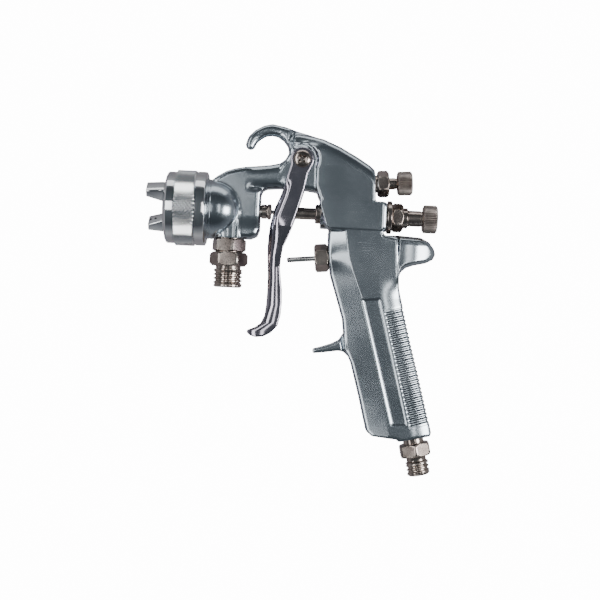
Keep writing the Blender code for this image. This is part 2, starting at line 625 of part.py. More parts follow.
# ---------------------------------------------------------------- needle line
def make_needle_line():
    tip = HEAD_FRONT - CAP_FACE + 0.2
    loop = [(tip, 0), (tip, 0.3), (HEAD_FRONT - 2, NEEDLE_RADIUS), (NEEDLE_END, NEEDLE_RADIUS)]
    loop += [(NEEDLE_END, 0)]
    turned("fluid_needle", loop, STEEL, SPRAY_PLACE, sides=SMALL_ROUND)
    bore = NEEDLE_RADIUS + GAP
    sleeve_end = LOCK_NUT_X - GAP
    loop = [(SLEEVE_FRONT, bore), (SLEEVE_FRONT, SLEEVE_RADIUS - 0.5), (SLEEVE_FRONT + 0.6, SLEEVE_RADIUS)]
    loop += [(sleeve_end, SLEEVE_RADIUS), (sleeve_end, bore)]
    turned("needle_sleeve", loop, NICKEL, SPRAY_PLACE, sides=SMALL_ROUND)
    end = LOCK_NUT_X + LOCK_NUT_LENGTH
    loop = [(LOCK_NUT_X, bore), (LOCK_NUT_X, LOCK_NUT_RADIUS), (end, LOCK_NUT_RADIUS), (end, bore)]
    turned("needle_lock_nut", loop, STEEL, SPRAY_PLACE, sides=SMALL_ROUND)
    back = LEG_REAR - 4.4
    loop = [(LEG_REAR - 9, bore), (LEG_REAR - 9, PACKING_RADIUS), (back, PACKING_RADIUS), (back, bore)]
    turned("needle_packing", loop, SEAL, SPRAY_PLACE, sides=SMALL_ROUND)
    face = LEG_REAR + GAP
    loop = [(back + GAP, bore), (back + GAP, PACKING_RADIUS), (face, PACKING_RADIUS), (face, 4.2)]
    loop += [(LEG_REAR + 3.6, 4.2), (LEG_REAR + 3.9, PACKING_NUT_FLATS, "hex")]
    loop += [(LEG_REAR + 5.9, PACKING_NUT_FLATS, "hex"), (LEG_REAR + 6.3, 3.7), (LEG_REAR + 6.3, bore)]
    turned("packing_nut", loop, NICKEL, SPRAY_PLACE, sides=SMALL_ROUND, twist=30)
    seat = GUIDE_FRONT + 3.4 - GAP
    bore = SLEEVE_RADIUS + GAP
    loop = [(GUIDE_FRONT, bore), (GUIDE_FRONT, GUIDE_HEAD_RADIUS - 0.5)]
    loop += [(GUIDE_FRONT + 0.5, GUIDE_HEAD_RADIUS)]
    loop += [(seat, GUIDE_HEAD_RADIUS), (seat, GUIDE_SHANK_RADIUS)]
    loop += [(seat + GUIDE_SHANK, GUIDE_SHANK_RADIUS), (seat + GUIDE_SHANK, bore)]
    turned("needle_guide_bush", loop, NICKEL, SPRAY_PLACE, sides=SMALL_ROUND)


def coil(name, base, toward, start, end, radius, wire, turns):
    """A compression spring: a curve with a thick round bevel, closed at both ends."""
    curve = bpy.data.curves.new(name, "CURVE")
    curve.dimensions = "3D"
    steps = turns * 8
    spline = curve.splines.new("POLY")
    spline.points.add(steps)
    for step in range(steps + 1):
        angle = math.tau * turns * step / steps
        along = start + (end - start) * step / steps
        point = Vector((radius * math.cos(angle), radius * math.sin(angle), along)) * MM
        spline.points[step].co = (*point, 1.0)
    curve.bevel_depth = wire * MM
    curve.bevel_resolution = 0
    curve.use_fill_caps = True
    curve.materials.append(finish(STEEL))
    spring = bpy.data.objects.new(name, curve)
    bpy.context.scene.collection.objects.link(spring)
    spring.location = base * MM
    spring.rotation_euler = facing(toward)
    return spring


def make_fluid_control():
    """Housing, screw and knob that set how far the needle can draw back, and its spring."""
    seat = BARREL_REAR + GAP
    bore = FLUID_STEM_RADIUS + GAP
    start = BARREL_REAR - CONTROL_SHANK
    loop = [(start, bore), (start, CONTROL_SHANK_RADIUS), (seat, CONTROL_SHANK_RADIUS)]
    loop += [(seat, CONTROL_FLANGE_RADIUS), (seat + 2.4, CONTROL_FLANGE_RADIUS)]
    loop += [(seat + 2.8, CONTROL_FLANGE_RADIUS - 0.5), (seat + 2.8, CONTROL_FLATS, "hex")]
    loop += [(seat + 8.9, CONTROL_FLATS, "hex"), (seat + 9.5, CONTROL_FLATS / 2)]
    loop += [(seat + 9.5, 5.9), (seat + 11.7, 5.9), (seat + 12.0, 5.6), (seat + 12.0, bore)]
    turned("fluid_control_housing", loop, NICKEL, SPRAY_PLACE, twist=30)
    start = NEEDLE_END + 9.0
    spigot = FLUID_KNOB_X + FLUID_KNOB_LENGTH - SPIGOT_ROOM
    knob_face = FLUID_KNOB_X - GAP
    loop = [(start, 0), (start, FLUID_STEM_RADIUS - 0.6), (start + 0.6, FLUID_STEM_RADIUS)]
    loop += [(knob_face, FLUID_STEM_RADIUS), (knob_face, SPIGOT_RADIUS), (spigot, SPIGOT_RADIUS)]
    loop += [(spigot, 0)]
    turned("fluid_screw", loop, NICKEL, SPRAY_PLACE, sides=SMALL_ROUND)
    knob("fluid_knob", FLUID_KNOB_X, FLUID_KNOB_LENGTH, FLUID_KNOB_RADIUS, SPRAY_PLACE, REARWARD)
    spring_start = LOCK_NUT_X + LOCK_NUT_LENGTH + 0.9
    spring_end = BARREL_REAR - CONTROL_SHANK - 1.2
    coil("needle_spring", SPRAY_PLACE, REARWARD, spring_start, spring_end, 4.2, SPRING_WIRE, 5)


def knob(name, start, length, radius, base, toward):
    """A round finger knob with a blind hole for its stem's end."""
    end = start + length
    hole = SPIGOT_RADIUS + GAP
    loop = [(start, hole), (start, radius - 0.6), (start + 0.7, radius), (end - 0.7, radius)]
    loop += [(end, radius - 0.7), (end, 0), (end - KNOB_FACE, 0), (end - KNOB_FACE, hole)]
    turned(name, loop, NICKEL, base, toward)


def make_fan_control():
    """Housing, seal, stem and knob of the valve that sets the horns' share of the air."""
    bore = FAN_STEM_RADIUS + GAP
    seat = 1.2
    loop = [(-7.4, bore), (-7.4, FAN_SHANK_RADIUS), (seat, FAN_SHANK_RADIUS), (seat, FAN_FLATS / 2)]
    loop += [(seat + 0.5, FAN_FLATS, "hex"), (seat + FAN_HEX_LENGTH - 0.6, FAN_FLATS, "hex")]
    loop += [(seat + FAN_HEX_LENGTH, FAN_FLATS / 2 - 0.1), (seat + FAN_HEX_LENGTH, bore)]
    turned("fan_valve_housing", loop, NICKEL, FAN_PLACE, FAN_AXIS, twist=30)
    loop = [(-9.6, bore), (-9.6, FAN_SHANK_RADIUS), (-7.7, FAN_SHANK_RADIUS), (-7.7, bore)]
    turned("fan_valve_seal", loop, SEAL, FAN_PLACE, FAN_AXIS, SMALL_ROUND)
    spigot = FAN_KNOB_START + FAN_KNOB_LENGTH - SPIGOT_ROOM
    knob_face = FAN_KNOB_START - GAP
    loop = [(-11.0, 0), (-7.0, 1.8), (-7.0, FAN_STEM_RADIUS), (knob_face, FAN_STEM_RADIUS)]
    loop += [(knob_face, SPIGOT_RADIUS), (spigot, SPIGOT_RADIUS), (spigot, 0)]
    turned("fan_stem", loop, NICKEL, FAN_PLACE, FAN_AXIS, SMALL_ROUND)
    knob("fan_knob", FAN_KNOB_START, FAN_KNOB_LENGTH, FAN_KNOB_RADIUS, FAN_PLACE, FAN_AXIS)


# ---------------------------------------------------------------- air valve
def make_air_valve():
    """The spring-loaded valve in the handle that the trigger opens first."""
    shank = VALVE_BORE_RADIUS - GAP
    bore = PIN_RADIUS + 0.4
    cup = 3.6
    loop = [(-VALVE_NUT_LENGTH, bore), (-VALVE_NUT_LENGTH, VALVE_FLATS / 2 - 0.2)]
    loop += [(-VALVE_NUT_LENGTH + 0.6, VALVE_FLATS, "hex"), (-0.8, VALVE_FLATS, "hex")]
    loop += [(-GAP, VALVE_FLATS / 2 - 0.2), (-GAP, shank), (8, shank), (8, cup), (-1, cup), (-1, bore)]
    turned("air_valve_body", loop, NICKEL, VALVE_PLACE, VALVE_AXIS, twist=30)
    loop = [(-0.7, bore), (-0.7, cup - GAP), (4, cup - GAP), (4, bore)]
    turned("air_valve_packing", loop, SEAL, VALVE_PLACE, VALVE_AXIS, SMALL_ROUND)
    loop = [(10.5, 2.6), (10.5, shank), (13.2, shank), (13.2, 3.2), (12.6, 2.6)]
    turned("air_valve_seat", loop, SEAL, VALVE_PLACE, VALVE_AXIS, SMALL_ROUND)
    tail = 19.0
    loop = [(-PIN_REACH, 0), (-PIN_REACH, PIN_RADIUS - 0.6), (-PIN_REACH + 0.7, PIN_RADIUS)]
    loop += [(13.4, PIN_RADIUS), (13.4, 1.0), (tail, 1.0), (tail, 0)]
    turned("air_valve_stem", loop, STEEL, VALVE_PLACE, VALVE_AXIS, SMALL_ROUND)
    loop = [(13.7, 1.0 + GAP), (13.7, POPPET_RADIUS), (16.6, POPPET_RADIUS), (16.6, 1.0 + GAP)]
    turned("air_valve_poppet", loop, SEAL, VALVE_PLACE, VALVE_AXIS, SMALL_ROUND)
    coil("air_valve_spring", VALVE_PLACE, VALVE_AXIS, 17.6, 26.0, 3.4, SPRING_WIRE, 4)


# ---------------------------------------------------------------- trigger
TRIGGER_HALF = NECK_HALF + GAP + TRIGGER_SIDE


def trigger_half(z):
    """The trigger's half width: straps outside the neck, drawn in to a narrow finger piece below."""
    upper, lower = TAPER_FOLDS
    share = min(max((upper - z) / (upper - lower), 0.0), 1.0)
    return TRIGGER_HALF + (TRIGGER_TOE_HALF - TRIGGER_HALF) * share


def make_trigger():
    eye = arc((PIVOT_X, PIVOT_Z), TRIGGER_EYE_RADIUS, -25, 205, 12)
    front = [(10.2, -22), (8.4, -29.6), (6.2, -36), (3.6, -42), (2.4, -47), (1.3, -52), (0.6, -58)]
    front += [(0.3, -64), (0.5, -70), (0.9, -76), (1.2, -82), (1.3, -90), (1.0, -98)]
    front += [(0.4, -104), (-1.6, -108.6), (-5, -111.2), (-9.4, -113)]
    toe = [(-9.6, -114.4), (-7.4, -116.2), (-4, -117.0), (0.4, -116.4), (4.6, -114.0)]
    back = [(8.2, -110), (9.7, -103.6), (10.1, -96.5), (9.8, -89), (8.8, -82), (8.0, -76), (8.4, -70)]
    back += [(9.2, -64), (11.9, -57.4), (14.0, -52), (15.8, -46.5), (18.2, -38), (20.3, -30.4), (21.7, -22)]
    shape = eye + front + toe + back
    trigger = plate("trigger", shape, TRIGGER_HALF, DARK_CHROME, rounding=0.7, taper=trigger_half)
    web = TRIGGER_WEB
    inner = [(-12, 10), (-12, -34.2), (7.0, -37.8), (5.0, -44.2), (3.8, -52), (3.1, -58), (3.0, -63.6)]
    inner += [(8.1, -64.4), (7.2, -72), (7.4, -79), (0.9 + web, -80.6), (1.3 + web, -90)]
    inner += [(1.1 + web, -98), (1.2 + web, -103), (5.4, -106.5), (40, -108), (40, 10)]
    room = TRIGGER_HALF - TRIGGER_SIDE
    channel = plate("trigger_channel", inner, room, taper=lambda z: trigger_half(z) - TRIGGER_SIDE)
    low, high = NEEDLE_SLOT
    slot = block("needle_slot", (-5, -NEEDLE_SLOT_HALF, low), (9, NEEDLE_SLOT_HALF, high))
    hole = rod("trigger_eye_bore", -30, 30, STUD_RADIUS + GAP, SIDEWAYS, PIVOT_PLACE)
    combine(trigger, [channel, slot, hole], "DIFFERENCE", "MANIFOLD")
    set_origin(trigger, PIVOT_PLACE * MM)


def set_origin(piece, point):
    """Moves a piece's origin to a point and leaves its mesh and its cutters where they are."""
    piece.data.transform(Matrix.Translation(-point))
    piece.location = point


def make_stud():
    """The stud that the trigger swings on, and the cross-head screw that holds it."""
    outer = TRIGGER_HALF + GAP
    hole = SCREW_HOLE_RADIUS
    loop = [(outer + STUD_HEAD, 0), (outer + STUD_HEAD, STUD_HEAD_RADIUS - 0.6)]
    loop += [(outer + STUD_HEAD - 0.6, STUD_HEAD_RADIUS), (outer, STUD_HEAD_RADIUS)]
    loop += [(outer, STUD_RADIUS), (-outer + GAP, STUD_RADIUS), (-outer + GAP, hole)]
    loop += [(-outer + 10, hole), (-outer + 10, 0)]
    turned("trigger_stud", loop, NICKEL, PIVOT_PLACE, SIDEWAYS, SMALL_ROUND)
    loop = [(outer + STUD_HEAD, 0), (outer + STUD_HEAD, 3.4), (outer + STUD_HEAD - 0.9, STUD_HEAD_RADIUS)]
    end = outer - SCREW_DEPTH
    loop += [(outer, STUD_HEAD_RADIUS), (outer, hole - GAP), (end, hole - GAP), (end, 0)]
    screw = turned("trigger_screw", loop, NICKEL, PIVOT_PLACE, -SIDEWAYS, ROUND)
    top = -(outer + STUD_HEAD)
    crosses = []
    for number, (wide, tall) in enumerate(((0.5, 2.3), (2.3, 0.5))):
        low = (PIVOT_X - wide, top - 1, PIVOT_Z - tall)
        high = (PIVOT_X + wide, top + 1.3, PIVOT_Z + tall)
        crosses.append(block(f"screw_slot_{number}", low, high))
    combine(screw, crosses, "DIFFERENCE")


# ---------------------------------------------------------------- inlets
def make_fluid_inlet():
    shank = FLUID_SHANK_RADIUS
    bore = FLUID_BORE_RADIUS
    lock_end = 7.6
    loop = [(GAP, shank + GAP), (GAP, LOCKNUT_FLATS / 2), (GAP + 0.6, LOCKNUT_FLATS, "hex")]
    loop += [(lock_end - 0.7, LOCKNUT_FLATS, "hex"), (lock_end, LOCKNUT_FLATS / 2), (lock_end, shank + GAP)]
    turned("fluid_inlet_locknut", loop, NICKEL, INLET_PLACE, DOWN, twist=12)
    start = lock_end + GAP
    end = start + 8.2
    thread = FLUID_THREAD_RADIUS
    flats = FLUID_HEX_FLATS
    inside = flats / 2 - 0.6
    loop = [(-8.6, bore), (-8.6, shank), (start, shank), (start, inside), (start + 1.4, flats, "hex")]
    loop += [(end - 1.4, flats, "hex"), (end, inside), (end, shank - 0.4), (end + 1.4, shank - 0.4)]
    loop += [(end + 1.9, thread), (end + 11.2, thread), (end + 12.4, thread - 1.3), (end + 12.4, bore)]
    turned("fluid_inlet_nipple", loop, NICKEL, INLET_PLACE, DOWN)
    loop = [(-10.7, FLUID_PASSAGE_RADIUS), (-10.7, shank), (-8.9, shank), (-8.9, FLUID_PASSAGE_RADIUS)]
    turned("fluid_inlet_seal", loop, SEAL, INLET_PLACE, DOWN, SMALL_ROUND)


def make_air_inlet():
    shank = AIR_SHANK_RADIUS
    bore = AIR_BORE_RADIUS
    flats = AIR_HEX_FLATS
    thread = AIR_THREAD_RADIUS
    loop = [(-10.6, bore), (-10.6, shank), (2.8, shank), (2.8, flats / 2 - 0.4), (3.6, flats, "hex")]
    loop += [(9.8, flats, "hex"), (10.6, flats / 2 - 0.4), (10.6, shank - 0.3), (13.4, shank - 0.3)]
    loop += [(13.8, thread), (20.4, thread), (21.6, thread - 1.2), (21.6, bore)]
    turned("air_inlet_nipple", loop, NICKEL, AIR_PLACE, AIR_AXIS)
    loop = [(-12.7, bore), (-12.7, shank), (-10.9, shank), (-10.9, bore)]
    turned("air_inlet_seal", loop, SEAL, AIR_PLACE, AIR_AXIS, SMALL_ROUND)


def main():
    for old in list(bpy.data.objects):
        bpy.data.objects.remove(old, do_unlink=True)
    bpy.context.scene.unit_settings.system = "METRIC"
    make_body()
    make_nozzle()
    make_baffle()
    make_cap()
    make_clip()
    make_ring()
    make_needle_line()
    make_fluid_control()
    make_fan_control()
    make_air_valve()
    make_trigger()
    make_stud()
    make_fluid_inlet()
    make_air_inlet()


main()
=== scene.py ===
# %% [markdown]
# # A pressure-feed spray gun
#
# This lesson dresses the working model of a spray gun. The model already has every piece at its real
# size and place. Here each visible piece gets its fine shape, such as threads, knurls and cast edges,
# and each finish gets its own material. Lengths are in metres, X runs along the spray from the cap (-X)
# to the control knobs (+X), Z is up, and the gun hangs from its hook at the origin.

# %% Load the working model
import json
import math

import bmesh
import bpy
import numpy as np
from mathutils import Matrix, Vector


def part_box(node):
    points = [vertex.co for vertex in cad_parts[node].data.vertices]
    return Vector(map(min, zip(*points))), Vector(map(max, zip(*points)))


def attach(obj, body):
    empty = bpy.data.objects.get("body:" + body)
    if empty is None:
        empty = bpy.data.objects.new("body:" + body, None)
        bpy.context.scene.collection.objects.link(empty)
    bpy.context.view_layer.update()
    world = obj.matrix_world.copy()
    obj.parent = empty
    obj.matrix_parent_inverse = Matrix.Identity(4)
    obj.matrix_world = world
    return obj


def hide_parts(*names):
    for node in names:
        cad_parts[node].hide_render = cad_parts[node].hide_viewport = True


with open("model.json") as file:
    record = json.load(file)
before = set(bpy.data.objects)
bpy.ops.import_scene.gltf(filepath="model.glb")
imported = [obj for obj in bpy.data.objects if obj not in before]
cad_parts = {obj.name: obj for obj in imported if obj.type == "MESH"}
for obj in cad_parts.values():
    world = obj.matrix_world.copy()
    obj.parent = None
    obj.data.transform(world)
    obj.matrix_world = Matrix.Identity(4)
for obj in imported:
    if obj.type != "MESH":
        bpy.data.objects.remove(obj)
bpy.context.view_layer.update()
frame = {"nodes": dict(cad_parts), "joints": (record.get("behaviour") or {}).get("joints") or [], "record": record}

MM = 0.001
record = frame["record"]
joints = {joint["name"]: joint for joint in frame["joints"]}
mounts = {mount["name"]: mount for mount in record["mounts"]}

# %% [markdown]
# ## The view
#
# The gun is seen square from its left side, from about 0.7 m, and the camera is rolled a little so that
# the spray axis falls to the right. A camera could be aimed with a Track To constraint, but a matrix
# built from its right, up and back directions keeps the roll exact.

# %% Camera
ROLL = math.radians(2.7)
VIEW_DISTANCE = 0.70
VIEW_WIDTH = 0.345
SENSOR = 36.0
aim = Vector((0.0206, -0.008, -0.0943))

right = Vector((math.cos(ROLL), 0, math.sin(ROLL)))
up = Vector((-math.sin(ROLL), 0, math.cos(ROLL)))
back = right.cross(up)
camera_data = bpy.data.cameras.new("camera")
camera_data.sensor_width = SENSOR
camera_data.lens = SENSOR * VIEW_DISTANCE / VIEW_WIDTH
camera_data.clip_start = 0.01
camera = bpy.data.objects.new("camera", camera_data)
bpy.context.scene.collection.objects.link(camera)
turn = Matrix((right, up, back)).transposed().to_4x4()
camera.matrix_world = Matrix.Translation(aim + back * VIEW_DISTANCE) @ turn
bpy.context.scene.camera = camera
print("lens:", round(camera_data.lens, 1), "mm")

# %% [markdown]
# ## The studio
#
# Polished metal shows the room more than its own colour, so the room matters as much as the metal. This
# one is dim in a wide cone round the camera and pale beyond it, with narrow soft boxes on both sides of
# the camera. A broad flank that faces the camera then goes slate grey, anything round gets a few clean
# white marks with dark between them, and edges that turn away go pale. The paper behind is much
# brighter than the room, so it is kept out of the metal's reflections.

# %% Floor and backdrop
FLOOR_Z = -0.42
FLOOR_FRONT = -2.6
WALL_Y = 1.1
WALL_HEIGHT = 2.2
SWEEP_RADIUS = 0.5
SWEEP_STEPS = 12
STAGE_HALF = 3.0
PAPER_GLOW = 14.0


def sweep_mesh():
    """A floor that curves up into a wall, as a studio's paper roll does."""
    profile = [(FLOOR_FRONT, FLOOR_Z)]
    for step in range(SWEEP_STEPS + 1):
        angle = math.pi / 2 * step / SWEEP_STEPS
        y = WALL_Y - SWEEP_RADIUS + SWEEP_RADIUS * math.sin(angle)
        z = FLOOR_Z + SWEEP_RADIUS - SWEEP_RADIUS * math.cos(angle)
        profile.append((y, z))
    profile.append((WALL_Y, WALL_HEIGHT))
    points = [(side * STAGE_HALF, y, z) for side in (-1, 1) for y, z in profile]
    count = len(profile)
    faces = [(i, i + 1, count + i + 1, count + i) for i in range(count - 1)]
    mesh = bpy.data.meshes.new("floor")
    mesh.from_pydata(points, [], faces)
    mesh.shade_smooth()
    return mesh


floor = bpy.data.objects.new("floor", sweep_mesh())
bpy.context.scene.collection.objects.link(floor)
floor.visible_glossy = False
floor.visible_diffuse = False
paper = bpy.data.materials.new("white_paper")
paper.use_nodes = True
paper_shader = paper.node_tree.nodes["Principled BSDF"]
paper_shader.inputs["Base Color"].default_value = (0.9, 0.9, 0.9, 1)
paper_shader.inputs["Roughness"].default_value = 0.9
paper_shader.inputs["Emission Color"].default_value = (1, 1, 1, 1)
paper_shader.inputs["Emission Strength"].default_value = PAPER_GLOW
floor.data.materials.append(paper)

# %% Room light
world = bpy.data.worlds.new("studio")
bpy.context.scene.world = world
world.use_nodes = True
world_nodes = world.node_tree.nodes
world_links = world.node_tree.links
toward = world_nodes.new("ShaderNodeTexCoord").outputs["Generated"]
away = world_nodes.new("ShaderNodeVectorMath")
away.operation = "DOT_PRODUCT"
away.inputs[1].default_value = (0, 1, 0)
world_links.new(toward, away.inputs[0])
cone = world_nodes.new("ShaderNodeValToRGB")
ROOM_TONES = (
    (0.00, (0.115, 0.130, 0.142)),
    (0.10, (0.080, 0.092, 0.102)),
    (0.24, (0.060, 0.068, 0.076)),
    (0.40, (0.22, 0.23, 0.25)),
    (0.55, (0.42, 0.43, 0.45)),
    (0.75, (0.26, 0.25, 0.27)),
    (1.00, (0.30, 0.29, 0.31)),
)
stops = cone.color_ramp.elements
stops[0].position, stops[0].color = ROOM_TONES[0][0], (*ROOM_TONES[0][1], 1)
stops[1].position, stops[1].color = ROOM_TONES[-1][0], (*ROOM_TONES[-1][1], 1)
for position, tone in ROOM_TONES[1:-1]:
    stop = stops.new(position)
    stop.color = (*tone, 1)
half = world_nodes.new("ShaderNodeMapRange")
half.inputs["From Min"].default_value = -1.0
half.inputs["From Max"].default_value = 1.0
world_links.new(away.outputs["Value"], half.inputs["Value"])
world_links.new(half.outputs["Result"], cone.inputs["Fac"])
world_links.new(cone.outputs["Color"], world_nodes["Background"].inputs["Color"])
world_nodes["Background"].inputs["Strength"].default_value = 1.0
print("room tones:", len(ROOM_TONES))

# %% Soft boxes
GUN_MIDDLE = Vector((0.02, 0, -0.06))
BOX_DISTANCE = 1.1


def soft_box(name, turn, rise, width, height, glow):
    """An area light that faces the gun from an angle turned towards the knobs and raised, in degrees.

    Its width and height are angles too, and its glow is how bright it looks in a mirror.
    """
    out = Vector((math.sin(math.radians(turn)), -math.cos(math.radians(turn)), 0))
    out = out * math.cos(math.radians(rise)) + Vector((0, 0, math.sin(math.radians(rise))))
    light = bpy.data.lights.new(name, "AREA")
    light.shape = "RECTANGLE"
    light.size = 2 * BOX_DISTANCE * math.tan(math.radians(width / 2))
    light.size_y = 2 * BOX_DISTANCE * math.tan(math.radians(height / 2))
    light.energy = glow * math.pi * light.size * light.size_y
    box = bpy.data.objects.new(name, light)
    bpy.context.scene.collection.objects.link(box)
    box.location = GUN_MIDDLE + out * BOX_DISTANCE
    box.rotation_euler = (-out).to_track_quat("-Z", "Y").to_euler()
    return box


soft_box("box_beside_camera", -13, 3, 7, 26, 4.0)
soft_box("box_round_highlight", 52, -3, 22, 22, 16.0)
soft_box("box_spray_end", -42, 4, 13, 64, 5.0)
soft_box("box_thin_strip", 21, 2, 6, 28, 4.0)
soft_box("box_above", 0, 80, 70, 22, 1.6)

# %% [markdown]
# ## Shared effects
#
# Cast, plated and turned metal differ in colour, but they share three effects: a fine grain, hair-thin
# polishing scratches, and painted shade that darkens hollows while a painted highlight lightens edges.
# Each effect is one node group with its own inputs, so that one good recipe serves every metal here.

# %% Tools for node groups


def new_group(name, inputs, outputs):
    """An empty node group with its sockets, and the two nodes that stand for them."""
    group = bpy.data.node_groups.new(name, "ShaderNodeTree")
    for label, kind, value in inputs:
        socket = group.interface.new_socket(label, in_out="INPUT", socket_type=kind)
        if value is not None:
            socket.default_value = value
    for label, kind in outputs:
        group.interface.new_socket(label, in_out="OUTPUT", socket_type=kind)
    entry = group.nodes.new("NodeGroupInput")
    leave = group.nodes.new("NodeGroupOutput")
    return group, entry, leave


def maths(tree, operation, first, second, clamp=False):
    """One Math node. Each operand is a socket or a number."""
    node = tree.nodes.new("ShaderNodeMath")
    node.operation = operation
    node.use_clamp = clamp
    for number, value in enumerate((first, second)):
        if isinstance(value, (int, float)):
            node.inputs[number].default_value = value
        else:
            tree.links.new(value, node.inputs[number])
    return node.outputs[0]


def noise(tree, vector, scale, detail=4.0, roughness=0.55):
    """One Noise node, from 0 to 1. Its scale is a socket or a number."""
    node = tree.nodes.new("ShaderNodeTexNoise")
    node.inputs["Detail"].default_value = detail
    node.inputs["Roughness"].default_value = roughness
    tree.links.new(vector, node.inputs["Vector"])
    if isinstance(scale, (int, float)):
        node.inputs["Scale"].default_value = scale
    else:
        tree.links.new(scale, node.inputs["Scale"])
    return node.outputs["Fac"]


# %% Group: metal grain
FLOAT = "NodeSocketFloat"
COLOUR = "NodeSocketColor"
VECTOR = "NodeSocketVector"
grain, enter, leave = new_group(
    "metal_grain",
    [("Scale", FLOAT, 900.0), ("Depth", FLOAT, 0.2), ("Normal", VECTOR, None)],
    [("Height", FLOAT), ("Normal", VECTOR)],
)
spot = grain.nodes.new("ShaderNodeTexCoord").outputs["Object"]
fine = noise(grain, spot, enter.outputs["Scale"], 5.0, 0.6)
broad = noise(grain, spot, maths(grain, "MULTIPLY", enter.outputs["Scale"], 0.11), 3.0, 0.5)
height = maths(grain, "ADD", maths(grain, "MULTIPLY", fine, 0.55), maths(grain, "MULTIPLY", broad, 0.45))
bump = grain.nodes.new("ShaderNodeBump")
bump.inputs["Distance"].default_value = 0.0004
grain.links.new(enter.outputs["Depth"], bump.inputs["Strength"])
grain.links.new(height, bump.inputs["Height"])
grain.links.new(enter.outputs["Normal"], bump.inputs["Normal"])
grain.links.new(height, leave.inputs["Height"])
grain.links.new(bump.outputs["Normal"], leave.inputs["Normal"])
print("group:", grain.name)

# %% Group: polishing scratches
scratches, enter, leave = new_group(
    "polish_scratches",
    [("Scale", FLOAT, 60.0), ("Amount", FLOAT, 0.3)],
    [("Mask", FLOAT)],
)
spot = scratches.nodes.new("ShaderNodeTexCoord").outputs["Object"]
stretch = scratches.nodes.new("ShaderNodeMapping")
stretch.inputs["Scale"].default_value = (1.0, 6.0, 22.0)
stretch.inputs["Rotation"].default_value = (0.2, 0.5, 0.3)
scratches.links.new(spot, stretch.inputs["Vector"])
hairs = noise(scratches, stretch.outputs["Vector"], enter.outputs["Scale"], 6.0, 0.7)
thin = maths(scratches, "SUBTRACT", hairs, 0.56, clamp=True)
strength = maths(scratches, "MULTIPLY", enter.outputs["Amount"], 5.0)
mask = maths(scratches, "MULTIPLY", thin, strength, clamp=True)
scratches.links.new(mask, leave.inputs["Mask"])
print("group:", scratches.name)

# %% Group: painted highlight on edges and painted shade in corners
edges, enter, leave = new_group(
    "edges_and_corners",
    [
        ("Colour", COLOUR, (0.5, 0.5, 0.5, 1)),
        ("Edge Colour", COLOUR, (0.8, 0.8, 0.8, 1)),
        ("Painted Shade Colour", COLOUR, (0.05, 0.045, 0.04, 1)),
        ("Edge", FLOAT, 0.5),
        ("Painted Shade", FLOAT, 0.5),
    ],
    [("Colour", COLOUR), ("Edge Mask", FLOAT), ("Painted Shade Mask", FLOAT)],
)
# Pointiness changes the surface colour: convex edges get a painted highlight and hollows get painted shade.
point = edges.nodes.new("ShaderNodeNewGeometry").outputs["Pointiness"]
EDGE_FROM = 0.53
CORNER_FROM = 0.47
convex = maths(edges, "MULTIPLY", maths(edges, "SUBTRACT", point, EDGE_FROM, clamp=True), 9.0, clamp=True)
hollow = maths(edges, "MULTIPLY", maths(edges, "SUBTRACT", CORNER_FROM, point, clamp=True), 7.0, clamp=True)
spot = edges.nodes.new("ShaderNodeTexCoord").outputs["Object"]
patchy = maths(edges, "ADD", noise(edges, spot, 160.0), 0.25, clamp=True)
patchy_edge = maths(edges, "MULTIPLY", convex, patchy)
patchy_corner = maths(edges, "MULTIPLY", hollow, patchy)
painted_highlight_mask = maths(edges, "MULTIPLY", patchy_edge, enter.outputs["Edge"], clamp=True)
painted_shade_mask = maths(edges, "MULTIPLY", patchy_corner, enter.outputs["Painted Shade"], clamp=True)
# Mixing in the edge colour paints the highlight.
rubbed_and_highlit = edges.nodes.new("ShaderNodeMix")
rubbed_and_highlit.data_type = "RGBA"
edges.links.new(painted_highlight_mask, rubbed_and_highlit.inputs["Factor"])
edges.links.new(enter.outputs["Colour"], rubbed_and_highlit.inputs["A"])
edges.links.new(enter.outputs["Edge Colour"], rubbed_and_highlit.inputs["B"])
# Mixing in the darker colour paints the shade.
painted_shade_mix = edges.nodes.new("ShaderNodeMix")
painted_shade_mix.data_type = "RGBA"
edges.links.new(painted_shade_mask, painted_shade_mix.inputs["Factor"])
edges.links.new(rubbed_and_highlit.outputs["Result"], painted_shade_mix.inputs["A"])
edges.links.new(enter.outputs["Painted Shade Colour"], painted_shade_mix.inputs["B"])
edges.links.new(painted_shade_mix.outputs["Result"], leave.inputs["Colour"])
edges.links.new(painted_highlight_mask, leave.inputs["Edge Mask"])
edges.links.new(painted_shade_mask, leave.inputs["Painted Shade Mask"])
print("group:", edges.name)

# %% [markdown]
# ## The metals
#
# Every metal here is the same build with its own values: a base colour that drifts a little from place
# to place, with painted shade in its hollows and a painted highlight on its edges, a roughness that the
# grain and the scratches disturb, and a very shallow bump. The casting is satin and slate grey, the ring
# and cap are bright chrome, the trigger's plating is darker, and the fittings are nickel that has gone
# warm and brownish. On the knobs the nickel is duller, and a darker copy of it paints shade into the ribs.

# %% One recipe for a metal


def colour_drift(tree, first, second, scale):
    """A colour that wanders between two tones over the surface."""
    spot = tree.nodes.new("ShaderNodeTexCoord").outputs["Object"]
    wander = noise(tree, spot, scale, 3.0, 0.5)
    ramp = tree.nodes.new("ShaderNodeValToRGB")
    ramp.color_ramp.elements[0].position = 0.38
    ramp.color_ramp.elements[1].position = 0.64
    ramp.color_ramp.elements[0].color = (*first, 1)
    ramp.color_ramp.elements[1].color = (*second, 1)
    tree.links.new(wander, ramp.inputs["Fac"])
    return ramp.outputs["Color"], wander


